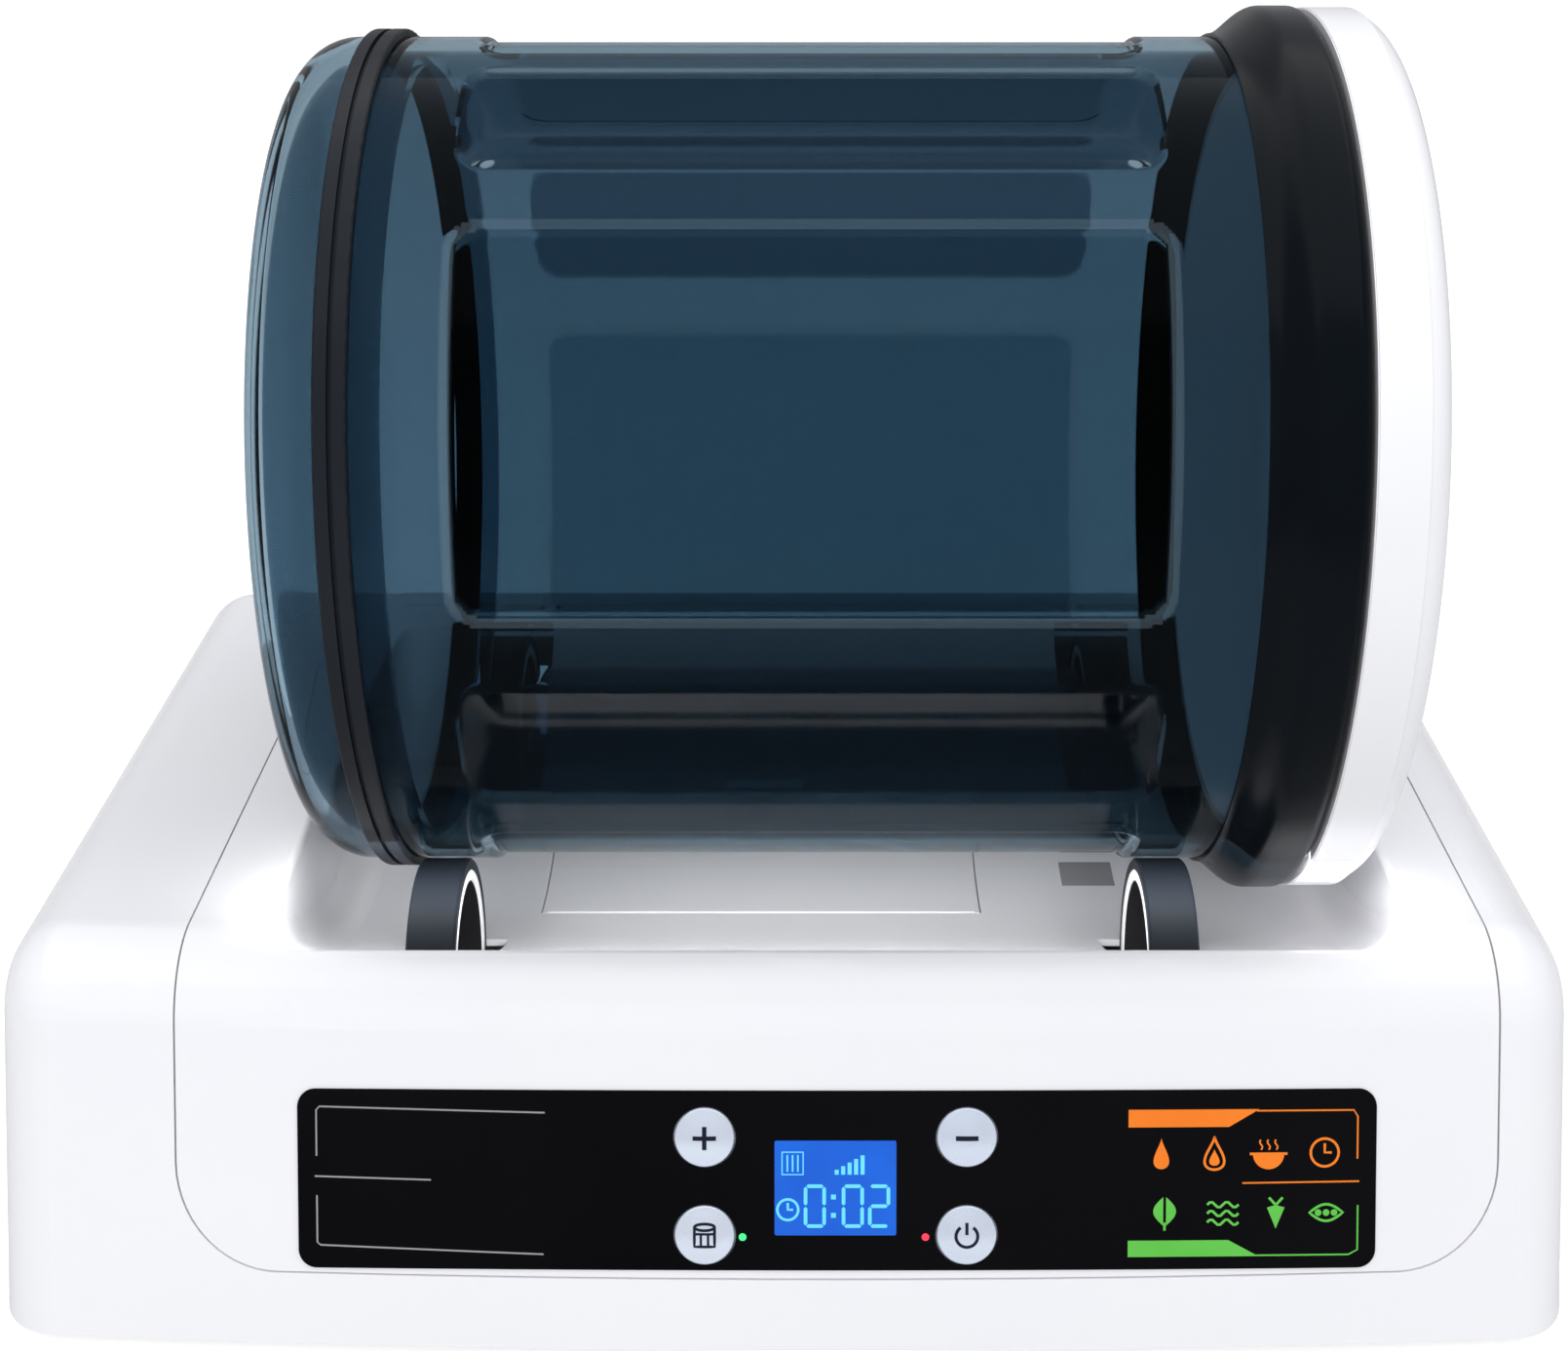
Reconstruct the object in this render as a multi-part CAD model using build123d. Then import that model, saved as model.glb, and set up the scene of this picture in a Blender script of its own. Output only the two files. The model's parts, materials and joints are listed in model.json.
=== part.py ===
from build123d import *
import os
from math import acos, atan2, cos, degrees, hypot, pi, radians, sin, sqrt, tan

# Table-top vacuum tumbler for marinating meat, in millimetres and degrees.
# Origin: middle of the base's footprint on the table. +X to the lid end, +Z up.
# The control panel faces -Y.

# Base shell
side_margin = 38.5
front_margin = 11.0
shell_bottom = 4.0
front_lean = 21.0
ridge_radius = 25.0
side_radius = 16.0
bow_radius = 3200.0
bow_sweep = 12.0
shell_wall = 2.5
seam_gap = 0.5
ledge_wall = 1.5
ledge_reach = 4.0
fit_gap = 0.2
overrun = 1.0

# Front and top cover, set to the lid side of the shell
cover_margin_left = 20.0
cover_margin_right = 18.0
cover_low = 21.0
cover_back_inset = 24.0
cover_corner = 25.0

# Cradle under the drum
cradle_floor = 54.0
cradle_depth = 40.0
cradle_room = 25.0
cradle_room_left = 6.5
cradle_room_right = 7.5
cradle_wall = 2.0
cradle_corner = 10.0
cradle_lip = 2.0
flare_inset = 42.0
flare_run = 29.0

# Drum
drum_radius = 110.0
drum_wall = 3.5
drum_left = -102.0
drum_right = 121.0
window_turn = 22.5
window_half_angle = 25.4
window_inset_left = 24.6
window_inset_right = 29.4
window_depth = 1.4
window_corner = 8.0
vane_depth = 9.0
vane_half_angle = 10.5
vane_hip = 10.0
drum_sides = 4

# Drum end cap and the ring over its joint
cap_length = 22.5
cap_corner = 14.0
cap_spigot = 10.0
ring_width = 8.0
ring_height = 2.0
ring_groove = 1.2

# Drum mouth flange, lid, gasket and valve
flange_lap = 10.0
flange_reach = 12.3
flange_height = 7.8
flange_flare = 9.0
mouth_inset = 7.0
flange_round = 3.5
bond_gap = 0.05
lid_gap = 0.6
lid_depth = 19.2
lid_rim_inset = 0.8
lid_corner = 9.0
lid_wall = 3.0
lid_spigot = 13.0
lid_spigot_gap = 0.5
lid_step_inset = 21.0
lid_step_depth = 2.0
pocket_radius = 34.0
pocket_depth = 11.0
lid_turn = 30.0
lug_count = 4
lug_inset = 1.6
lug_width = 3.0
lug_height = 1.8
lug_angle = 14.0
lug_slack = 2.0
gasket_width = 5.0
gasket_thick = 2.4
knob_radius = 21.0
knob_height = 8.0
knob_grip_width = 8.0
knob_stem_radius = 6.0
valve_bore = 2.5
valve_nut_radius = 11.0
valve_nut_height = 4.0
run_gap = 0.05
clear_gap = 0.3

# Rollers and their shafts
roller_radius = 31.0
roller_angle = 32.0
roller_gap = 0.3
roller_inset_left = 12.8
roller_inset_right = 22.0
tyre_width = 12.5
tyre_thick = 3.0
tyre_crown = 0.6
hub_rim = 3.0
hub_web = 4.0
hub_boss_radius = 6.0
hub_bore = 3.0
shaft_radius = 3.0
bush_radius = 4.0
bush_length = 8.0
bush_inset = 14.0
post_half_width = 8.0
slot_half_width = 12.0
slot_reach_front = 25.6
slot_reach_back = 33.4
slot_relief = 0.8
drive_bush_inset = 11.0
shaft_end = 5.0

# Drive gears and motor
gear_module = 1.0
gear_teeth = 36
pinion_teeth = 15
gear_pressure = 20.0
gear_backlash = 0.12
gear_root_share = 1.25
gear_width = 8.0
gear_inset = 25.0
pinion_fall = 30.0
pinion_shaft_radius = 3.0
motor_radius = 25.0
motor_length = 22.0
motor_gap = 3.0
motor_boss_radius = 9.0
bracket_thick = 2.0
bracket_half = 30.0

# Tray, feet and screws
tray_thick = 3.0
foot_radius = 10.0
foot_depth = 2.0
foot_inset_x = 33.5
foot_inset_front = 38.0
foot_inset_back = 24.0
screw_radius = 1.5
screw_head_radius = 3.2
screw_head_height = 2.2
screw_slot = 0.8
screw_length = 12.0
boss_radius = 4.5
tray_screw_inset_x = 58.5
tray_screw_inset_front = 44.0
tray_screw_inset_back = 18.0

# Hatch and the bin for the hose under it
hatch_inset_left = 18.2
hatch_inset_right = 42.6
hatch_front = -17.4
hatch_back = 52.0
hatch_gap = 0.35
hatch_tab_length = 24.0
hatch_tab_width = 3.0
hatch_tab_height = 3.0
bin_wall = 2.5
bin_lap = 2.5
bin_floor = 12.0
hose_radius = 4.0
hose_bore = 2.5
hose_rise = 9.0
port_radius = 2.4
port_collar_radius = 6.0
port_length = 7.0
nozzle_radius = 5.0
nozzle_length = 16.0

# Lens over the drum sensor
sensor_inset = 1.6
sensor_length = 15.6
sensor_front = 1.0
sensor_back = 14.4
sensor_gap = 0.1

# Control panel, measured on the sloping front face
panel_height = 44.0
panel_length = 268.0
panel_width = 45.0
panel_corner = 4.6
panel_thick = 1.2
panel_proud = 0.5
window_length = 30.2
window_width = 23.8
window_right_of_middle = -0.4
window_above_middle = -1.8
window_lap = 2.0
button_radius = 7.5
button_gap = 0.25
button_proud = 1.6
button_dome = 0.9
button_flange = 0.6
button_flange_thick = 1.0
button_stem_radius = 2.5
button_travel = 1.0
button_left = -32.8
button_side = 32.1
button_high = 10.8
button_low = -13.7
led_radius = 0.9
led_left = -23.4
led_side = 21.9
led_above = -14.1
led_body_radius = 1.8
board_depth = 12.0
board_length = 112.0
board_width = 40.0
board_thick = 1.6
switch_size = 6.0
switch_height = 3.6
display_thick = 4.5
display_edge = 4.0
standoff_radius = 3.0
standoff_x = 50.0
standoff_y = 15.0

# Vacuum pump in the left bay
pump_inset = 33.0
pump_inset_front = 128.0
pump_motor_radius = 17.5
pump_motor_length = 54.0
pump_height = 33.0
pump_head_length = 34.0
pump_head_width = 40.0
pump_head_height = 44.0
pump_mount_radius = 5.0
pump_mount_spread = 13.0
pump_mount_height = 3.0
mount_shares = (0.2, 0.8)
pump_rib_count = 5
barb_radius = 3.2
barb_length = 9.0
tube_radius = 3.5
tube_bend = 12.0

# Power board, transformer and mains inlet
power_inset_x = 69.0
power_inset_y = 34.0
power_length = 84.0
power_width = 46.0
power_lift = 5.0
transformer_shift = 21.0
transformer_length = 34.0
transformer_width = 38.0
transformer_height = 26.0
capacitor_radius = 6.0
capacitor_height = 16.0
capacitor_shift = 24.0
capacitor_spacing = 18.0
inlet_inset = 42.0
inlet_height = 42.0
inlet_length = 26.0
inlet_width = 18.0
inlet_depth = 20.0
inlet_flange = 3.0
inlet_flange_thick = 1.6
inlet_cavity_length = 17.0
inlet_cavity_width = 9.0
inlet_cavity_depth = 14.0
inlet_round_share = 0.45
pin_radius = 1.2
pin_spacing = 8.6
pin_length = 9.0
vent_count = 9
vent_inset = 11.0
vent_step = 8.0
vent_width = 3.0
vent_low = 30.0
vent_high = 62.0

# Places worked out from the sizes above
cap_left = drum_left - cap_length
ring_left = drum_left - ring_width / 2
window_left = drum_left + window_inset_left
window_right = drum_right - window_inset_right
flange_left = drum_right - flange_lap
flange_right = drum_right + flange_reach
flange_radius = drum_radius + flange_height
flange_mouth = drum_radius - mouth_inset
lid_right = flange_right + lid_depth
lid_radius = flange_radius - lid_rim_inset
lid_step_radius = lid_radius - lid_step_inset
lug_left = drum_right + lug_inset
cradle_radius = drum_radius + cradle_room
cradle_left = cap_left - cradle_room_left
cradle_right = lid_right + cradle_room_right
drum_height = cradle_floor + cradle_radius
shell_top = cradle_floor + cradle_depth
half_width = cradle_right + side_margin
half_depth = cradle_radius + front_margin
flare_end = half_depth - flare_inset
flare_start = flare_end - flare_run
flare_bottom = drum_height - sqrt(cradle_radius ** 2 - flare_start ** 2)
flare_slope = (shell_top - flare_bottom) / flare_run
cover_left = cradle_left - cover_margin_left
cover_right = cradle_right + cover_margin_right
cover_middle = (cover_left + cover_right) / 2
cover_half = (cover_right - cover_left) / 2
cover_back = half_depth - cover_back_inset
roller_left = drum_left + roller_inset_left
roller_right = drum_right - roller_inset_right
drive_bush_place = cradle_left - drive_bush_inset
gear_place = cradle_left - gear_inset
foot_x = half_width - foot_inset_x
foot_front = foot_inset_front - half_depth
foot_back = half_depth - foot_inset_back
tray_screw_x = half_width - tray_screw_inset_x
tray_screw_front = tray_screw_inset_front - half_depth
tray_screw_back = half_depth - tray_screw_inset_back
hatch_left = roller_left + hatch_inset_left
hatch_right = roller_right - hatch_inset_right
sensor_right = roller_right - sensor_inset
sensor_left = sensor_right - sensor_length
pump_x = cradle_left - pump_inset
pump_front = half_depth - pump_inset_front
power_x = cradle_right - power_inset_x
power_y = half_depth - power_inset_y
transformer_x = power_x - transformer_shift
capacitor_x = power_x + capacitor_shift
inlet_x = cradle_right - inlet_inset
vent_x = cradle_left + vent_inset
reach = 4 * half_width
tray_top = shell_bottom + tray_thick
shaft_distance = drum_radius + roller_gap + roller_radius
shaft_y = shaft_distance * sin(radians(roller_angle))
shaft_z = drum_height - shaft_distance * cos(radians(roller_angle))
slot_front = -shaft_y - slot_reach_front
slot_back = slot_reach_back - shaft_y
gear_radius = gear_module * gear_teeth / 2
pinion_radius = gear_module * pinion_teeth / 2
gear_distance = gear_radius + pinion_radius
pinion_y = -shaft_y + gear_distance * cos(radians(pinion_fall))
pinion_z = shaft_z - gear_distance * sin(radians(pinion_fall))
mesh_angle = degrees(atan2(pinion_z - shaft_z, pinion_y + shaft_y))
under_cradle = cradle_radius + cradle_wall
motor_face = gear_place - gear_width / 2 - motor_gap
lid_inner = flange_right + lid_gap
pocket_floor = lid_right - pocket_depth
drum_axis = Axis((0, 0, drum_height), (1, 0, 0))


def save(node, *pieces):
    """Write one node, as one solid or as a group of separate solids."""
    solids = []
    for piece in pieces:
        solids += piece.solids()
    shape = solids[0] if len(solids) == 1 else Compound(children=solids)
    export_step(shape, "parts/" + node + ".step")


def box(x0, x1, y0, y1, z0, z1):
    """A box between two corners."""
    middle = Pos((x0 + x1) / 2, (y0 + y1) / 2, (z0 + z1) / 2)
    return middle * Box(x1 - x0, y1 - y0, z1 - z0)


def rod(x0, x1, radius, y=0.0, z=0.0):
    """A round bar along X."""
    return Pos((x0 + x1) / 2, y, z) * Rot(0, 90, 0) * Cylinder(radius, x1 - x0)


def post(x, y, z0, z1, radius):
    """A round bar along Z."""
    return Pos(x, y, (z0 + z1) / 2) * Cylinder(radius, z1 - z0)


def turned(points, radii=None):
    """A body turned about the drum's axis from (x, radius) points, with rounded corners."""
    outline = make_face(Polyline(*points, close=True))
    for number, radius in (radii or {}).items():
        x, y = points[number]
        corners = [v for v in outline.vertices() if hypot(v.X - x, v.Y - y) < fit_gap / 2]
        outline = fillet(corners, radius)
    side = Plane.XZ * outline
    return Pos(0, 0, drum_height) * revolve(side, Axis.X)


def front_y(z, inset=0.0):
    """Where the leaning front face stands at a height."""
    return -half_depth + (z - shell_bottom) * tan(radians(front_lean)) + inset / cos(radians(front_lean))


def block(inset, low):
    """The whole outside form of the base, moved inwards by inset, from a height up."""
    top = shell_top - inset
    back = half_depth - inset
    crest = front_y(top, inset)
    outline = make_face(
        Polyline((front_y(low, inset), low), (crest, top), (reach, top), (reach, low), close=True)
    )
    corner = [v for v in outline.vertices() if hypot(v.X - crest, v.Y - top) < fit_gap / 2]
    outline = fillet(corner, ridge_radius - inset)
    axis = Axis((cover_middle, -half_depth + bow_radius, 0), (0, 0, 1))
    side = Pos(cover_middle, 0, 0) * (Plane.YZ * outline)
    solid = revolve(side, axis, bow_sweep).rotate(axis, -bow_sweep / 2)
    half = half_width - inset
    solid = solid & box(-half, half, back - reach, back, low - overrun, top + overrun)
    edges = []
    for face in solid.faces():
        at_end = abs(abs(face.center().X) - half) < fit_gap / 2
        at_back = abs(face.center().Y - back) < fit_gap / 2
        for edge in face.edges():
            bounds = edge.bounding_box()
            rises = bounds.max.Z > low + overrun
            high = bounds.min.Z > top - fit_gap / 2
            wanted = (at_end and rises) or (at_back and high)
            if wanted and not any(edge.is_same(other) for other in edges):
                edges.append(edge)
    return fillet(edges, side_radius - inset)


def cover_region(grow):
    """The part of the shell that the front and top cover takes, grown by a gap all round."""
    left = cover_middle - cover_half - grow
    right = cover_middle + cover_half + grow
    low = cover_low - grow
    corner = cover_corner + grow
    across = box(left, right, -reach, reach, low, low + reach)
    lower = [e for e in across.edges().filter_by(Axis.Y) if e.center().Z < low + corner]
    across = fillet(lower, corner)
    plan = box(left, right, -reach, cover_back + grow, -overrun, reach)
    back = [e for e in plan.edges().filter_by(Axis.Z) if e.center().Y > cover_back - corner]
    return across & fillet(back, corner)


def cradle(grow):
    """The trough that the drum lies over, a turned hollow with rounded ends and flared sides."""
    left = cradle_left - grow
    right = cradle_right + grow
    radius = cradle_radius + grow
    hollow = turned(
        [(left, 0), (left, radius), (right, radius), (right, 0)],
        {1: cradle_corner + grow, 2: cradle_corner + grow},
    )
    return hollow + flared_sides(left, right, grow)


def flared_sides(left, right, grow):
    """The straight upper sides of the trough, which open out from the round to the base's top."""
    drop = grow * hypot(1, flare_slope)
    half = (drum_height - flare_bottom + drop) / flare_slope + flare_start
    start = flare_start - grow
    bottom = flare_bottom - grow * flare_slope - drop
    section = make_face(Polyline((-start, bottom), (-half, drum_height), (half, drum_height),
                                 (start, bottom), close=True))
    prism = Pos(left, 0, 0) * extrude(Plane.YZ * section, right - left, dir=(1, 0, 0))
    ends = []
    for edge in prism.edges():
        size = edge.bounding_box().size
        if size.X < overrun and size.Z > overrun:
            ends.append(edge)
    return fillet(ends, cradle_corner + grow)


def panel_plane():
    """The plane of the control panel, with +X across it and +Y up the slope."""
    return Plane(
        origin=(cover_middle, front_y(panel_height), panel_height),
        x_dir=(1, 0, 0),
        z_dir=(0, -cos(radians(front_lean)), sin(radians(front_lean))),
    )


def on_panel(x, y, depth_from, depth_to, solid_radius=None, size=None, corner=None):
    """A round or square prism square to the panel, between two depths behind its face."""
    plane = panel_plane()
    if size:
        outline = RectangleRounded(size[0], size[1], corner) if corner else Rectangle(size[0], size[1])
    else:
        outline = Circle(solid_radius)
    outline = Pos(x, y, -depth_to) * outline
    return extrude(plane * outline, depth_to - depth_from, dir=plane.z_dir)


def places():
    """Places of the four buttons on the panel, in reading order."""
    return {
        "plus": (button_left, button_high),
        "minus": (button_side, button_high),
        "vacuum": (button_left, button_low),
        "power": (button_side, button_low),
    }


def screw(x, y, z, length, up=True):
    """A pan-head screw, its head's underside at z, pointing up or down."""
    head = post(0, 0, -screw_head_height, 0, screw_head_radius)
    slot = box(-screw_head_radius / 2, screw_head_radius / 2, -screw_slot / 2, screw_slot / 2,
               -screw_head_height - overrun, -screw_head_height + screw_slot)
    body = head + post(0, 0, 0, length, screw_radius) - slot - Rot(0, 0, 90) * slot
    return Pos(x, y, z) * (body if up else Rot(180, 0, 0) * body)


def roller_places():
    """X middle of each of the two rollers on a shaft."""
    return {"left": roller_left, "right": roller_right}


def bush_places(front):
    """X middle of each bush on a shaft."""
    return [roller_left + bush_inset, roller_right - bush_inset] + ([drive_bush_place] if front else [])


def skin():
    """The moulded wall of the whole base, before it is parted."""
    return block(0, shell_bottom) - block(shell_wall, shell_bottom - overrun)


def make_outer_shell(whole):
    shell = whole - cover_region(seam_gap)
    low = shell_bottom + overrun
    inner = block(shell_wall + ledge_wall, low - overrun)
    under_cover = block(shell_wall + bond_gap, low) - inner
    under_shell = block(shell_wall - fit_gap, low) - inner
    ledge = under_cover & (cover_region(ledge_reach) - cover_region(-ledge_reach))
    root = under_shell & (cover_region(ledge_reach) - cover_region(seam_gap))
    shell = shell + root + ledge
    for x, y in places().values():
        shell = shell - on_panel(x, y, shell_wall, board_depth,
                                 button_radius + button_flange + 2 * button_gap)
    shell = shell - box(
        inlet_x - inlet_length / 2 - fit_gap, inlet_x + inlet_length / 2 + fit_gap,
        half_depth - shell_wall - overrun, half_depth + overrun,
        inlet_height - inlet_width / 2 - fit_gap, inlet_height + inlet_width / 2 + fit_gap,
    )
    for number in range(vent_count):
        x = vent_x + number * vent_step
        shell = shell - box(x, x + vent_width, half_depth - shell_wall - overrun, half_depth + overrun,
                            vent_low, vent_high)
    save("outer_shell", shell)


def make_top_cover(whole):
    cover = (whole & cover_region(0)) + (cradle(cradle_wall) & block(0, shell_bottom)) - cradle(0)
    rim = []
    for edge in cover.edges():
        bounds = edge.bounding_box()
        centre = edge.center()
        off_flare = abs(flare_bottom + flare_slope * (abs(centre.Y) - flare_start) - centre.Z)
        near_top = bounds.min.Z > shell_top - ridge_radius / 2
        if near_top and off_flare < overrun and bounds.size.X > 2 * cradle_corner:
            rim.append(edge)
    cover = fillet(rim, cradle_lip)
    for x in roller_places().values():
        for side in (-1, 1):
            ends = sorted((side * -slot_front, side * -slot_back))
            cover = cover - box(x - slot_half_width, x + slot_half_width, ends[0], ends[1],
                                shaft_z - roller_radius, shell_top + overrun)
            cover = cover - rod(x - slot_half_width, x + slot_half_width, roller_radius + slot_relief,
                                side * shaft_y, shaft_z)
    cover = cover - box(hatch_left, hatch_right, hatch_front, hatch_back, bin_floor, shell_top)
    cover = cover - box(sensor_left, sensor_right, sensor_front, sensor_back, bin_floor, shell_top)
    size = (panel_length, panel_width)
    recess = on_panel(0, 0, -ridge_radius, ridge_radius, size=size, corner=panel_corner)
    bed = block(panel_thick - panel_proud, shell_bottom)
    cover = cover - (recess - bed)
    for x, y in places().values():
        cover = cover - on_panel(x, y, -panel_thick, shell_wall + ledge_wall + overrun,
                                 button_radius + button_flange + 2 * button_gap)
    opening = (window_length - window_lap, window_width - window_lap)
    cover = cover - on_panel(window_right_of_middle, window_above_middle, -panel_thick,
                             shell_wall + ledge_wall + overrun, size=opening)
    for x in (led_left, led_side):
        cover = cover - on_panel(x, led_above, -panel_thick, shell_wall + ledge_wall + overrun,
                                 led_body_radius + fit_gap)
    for x in (-standoff_x, standoff_x):
        for y in (-standoff_y, standoff_y):
            pillar = on_panel(x, y, shell_wall / 2, board_depth, standoff_radius)
            cover = cover + (pillar & block(shell_wall / 2, shell_bottom))
    save("top_cover", cover)


def make_panel():
    """The glossy black overlay with its display window, button holes and lamp holes."""
    prism = on_panel(0, 0, -ridge_radius, ridge_radius, size=(panel_length - 2 * bond_gap,
                     panel_width - 2 * bond_gap), corner=panel_corner)
    layer = block(-panel_proud, shell_bottom) - block(panel_thick - panel_proud, shell_bottom)
    sheet = layer & prism
    for x, y in places().values():
        sheet = sheet - on_panel(x, y, -ridge_radius / 2, ridge_radius / 2, button_radius + button_gap)
    for x in (led_left, led_side):
        sheet = sheet - on_panel(x, led_above, -ridge_radius / 2, ridge_radius / 2, led_radius + bond_gap)
    window = on_panel(window_right_of_middle, window_above_middle, -ridge_radius / 2, ridge_radius / 2,
                      size=(window_length, window_width), corner=panel_proud)
    lens = on_panel(window_right_of_middle, window_above_middle, -ridge_radius / 2, ridge_radius / 2,
                    size=(window_length - 2 * bond_gap, window_width - 2 * bond_gap), corner=panel_proud)
    save("control_panel_overlay", sheet - window)
    save("display_lens", layer & lens)


def make_display():
    """The liquid crystal module behind the window, standing on the control board."""
    size = (window_length + display_edge - window_lap, window_width + display_edge - window_lap)
    front = board_depth - display_thick - ledge_wall
    module = on_panel(window_right_of_middle, window_above_middle, front, front + display_thick, size=size)
    legs = on_panel(window_right_of_middle, window_above_middle, front + display_thick, board_depth,
                    size=(size[0] - display_edge, size[1] - display_edge))
    save("display_module", module + legs)


def make_buttons():
    for name, (x, y) in places().items():
        cap = on_panel(x, y, -button_proud, shell_wall, button_radius)
        rim = [e for e in cap.edges() if e.geom_type == GeomType.CIRCLE]
        rim = sorted(rim, key=lambda e: e.center().Y)[:1]
        cap = fillet(rim, button_dome)
        flange = on_panel(x, y, shell_wall - button_flange_thick, shell_wall, button_radius + button_flange)
        stem_end = board_depth - switch_height - button_travel - fit_gap
        stem = on_panel(x, y, shell_wall, stem_end, button_stem_radius)
        save("button_" + name, cap + flange + stem)


def make_board():
    board = on_panel(0, 0, board_depth, board_depth + board_thick, size=(board_length, board_width))
    screws = []
    for x in (-standoff_x, standoff_x):
        for y in (-standoff_y, standoff_y):
            hole = on_panel(x, y, board_depth - overrun, board_depth + board_thick + overrun, screw_radius)
            board = board - hole
            head_from = board_depth + board_thick
            screws.append(on_panel(x, y, head_from, head_from + screw_head_height, screw_head_radius))
    save("control_board", board)
    save("board_screws", *screws)
    switches = [on_panel(x, y, board_depth - switch_height, board_depth, size=(switch_size, switch_size))
                for x, y in places().values()]
    save("tact_switches", *switches)
    for name, x in (("green", led_left), ("red", led_side)):
        body_from = shell_wall + button_travel + clear_gap
        lamp = on_panel(x, led_above, -panel_proud, body_from, led_radius)
        lamp = lamp + on_panel(x, led_above, body_from, board_depth, led_body_radius)
        save(name + "_lamp", lamp)


def make_hatch():
    """The lift-out hatch in the cradle floor, curved like the floor."""
    plate = turned([(hatch_left + hatch_gap, cradle_radius), (hatch_left + hatch_gap, under_cradle),
                    (hatch_right - hatch_gap, under_cradle), (hatch_right - hatch_gap, cradle_radius)])
    cut = box(-reach, reach, hatch_front + hatch_gap, hatch_back - hatch_gap,
              0, drum_height - cradle_radius / 2)
    plate = plate & cut
    middle = (hatch_left + hatch_right) / 2
    tab_back = hatch_back - hatch_tab_width
    surface = drum_height - sqrt(cradle_radius ** 2 - tab_back ** 2)
    tab = box(middle - hatch_tab_length / 2, middle + hatch_tab_length / 2, tab_back - hatch_tab_width,
              tab_back, surface - cradle_wall, surface + hatch_tab_height)
    tab = tab & rod(middle - reach, middle + reach, under_cradle, 0, drum_height)
    save("hatch_door", plate + tab)


def make_bin():
    """The bin for the suction hose, hung under the hatch, with the port it starts from."""
    left = hatch_left - bin_wall + bin_lap
    right = hatch_right + bin_wall - bin_lap
    front = hatch_front - bin_wall + bin_lap
    back = hatch_back + bin_wall - bin_lap
    outer = box(left - bin_lap, right + bin_lap, front - bin_lap, back + bin_lap, bin_floor, shell_top)
    outer = outer - rod(-reach, reach, under_cradle + bond_gap, 0, drum_height)
    hollow = box(left + bin_lap, right - bin_lap, front + bin_lap, back - bin_lap,
                 bin_floor + bin_wall, shell_top)
    y, z = port_place()
    collar = rod(left - bin_lap - barb_length, left + bin_lap + port_length, barb_radius, y, z)
    body = outer - hollow
    body = body + collar - rod(left - reach, left + reach / 2, port_radius - ledge_wall / 2, y, z)
    save("hose_bin", body + mended_side(right, y, z))


def mended_side(right, y, z):
    """Closes the far wall of the bin again where the port's bore was drilled through."""
    return rod(right + bin_lap - bin_wall * 2, right + bin_lap, port_radius, y, z)


def port_place():
    """Y and Z of the suction port in the bin's left wall."""
    y = hatch_front + bin_lap + hose_radius + bin_wall
    z = bin_floor + bin_wall + port_collar_radius
    return y, z


def make_hose():
    """The silicone suction hose, laid in the bin in a flat loop, and its nozzle."""
    y0, z0 = port_place()
    inner_left = hatch_left + bin_lap
    inner_right = hatch_right - bin_lap
    inner_back = hatch_back - bin_lap
    margin = hose_radius + 2 * clear_gap
    x_start = inner_left + port_length + bond_gap
    low = y0
    high = inner_back - margin
    east = inner_right - margin
    west = inner_left + margin
    z1 = z0 + hose_rise
    middle = (hatch_left + hatch_right) / 2
    points = [(x_start, low, z0), (east, low, z0), (east, high, z0), (west, high, z1),
              (west, low, z1 + clear_gap), (middle, low, z1 + clear_gap)]
    bend = (high - low) / 2 - clear_gap
    path = FilletPolyline(*points, radius=bend)
    ring = Plane(origin=points[0], z_dir=(1, 0, 0)) * (Circle(hose_radius) - Circle(hose_bore))
    hose = sweep(ring, path=path)
    print("hose: length", round(path.length, 1), "radius", round(bend, 1),
          "volume share", round(hose.volume / (path.length * pi * (hose_radius ** 2 - hose_bore ** 2)), 4))
    save("suction_hose", hose)
    x_end = points[-1][0]
    nozzle = rod(x_end + bond_gap, x_end + nozzle_length, nozzle_radius - overrun, low, points[-1][2])
    nozzle = nozzle + rod(x_end + nozzle_length - port_length / 2, x_end + nozzle_length, nozzle_radius, low,
                          points[-1][2])
    nozzle = nozzle - rod(x_end - overrun, x_end + nozzle_length + overrun, hose_bore, low, points[-1][2])
    save("hose_nozzle", nozzle)


def make_sensor_lens():
    lens = turned([(sensor_left + sensor_gap, cradle_radius), (sensor_left + sensor_gap, under_cradle),
                   (sensor_right - sensor_gap, under_cradle), (sensor_right - sensor_gap, cradle_radius)])
    lens = lens & box(-reach, reach, sensor_front + sensor_gap, sensor_back - sensor_gap, 0,
                      drum_height - cradle_radius / 2)
    save("sensor_lens", lens)


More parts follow.
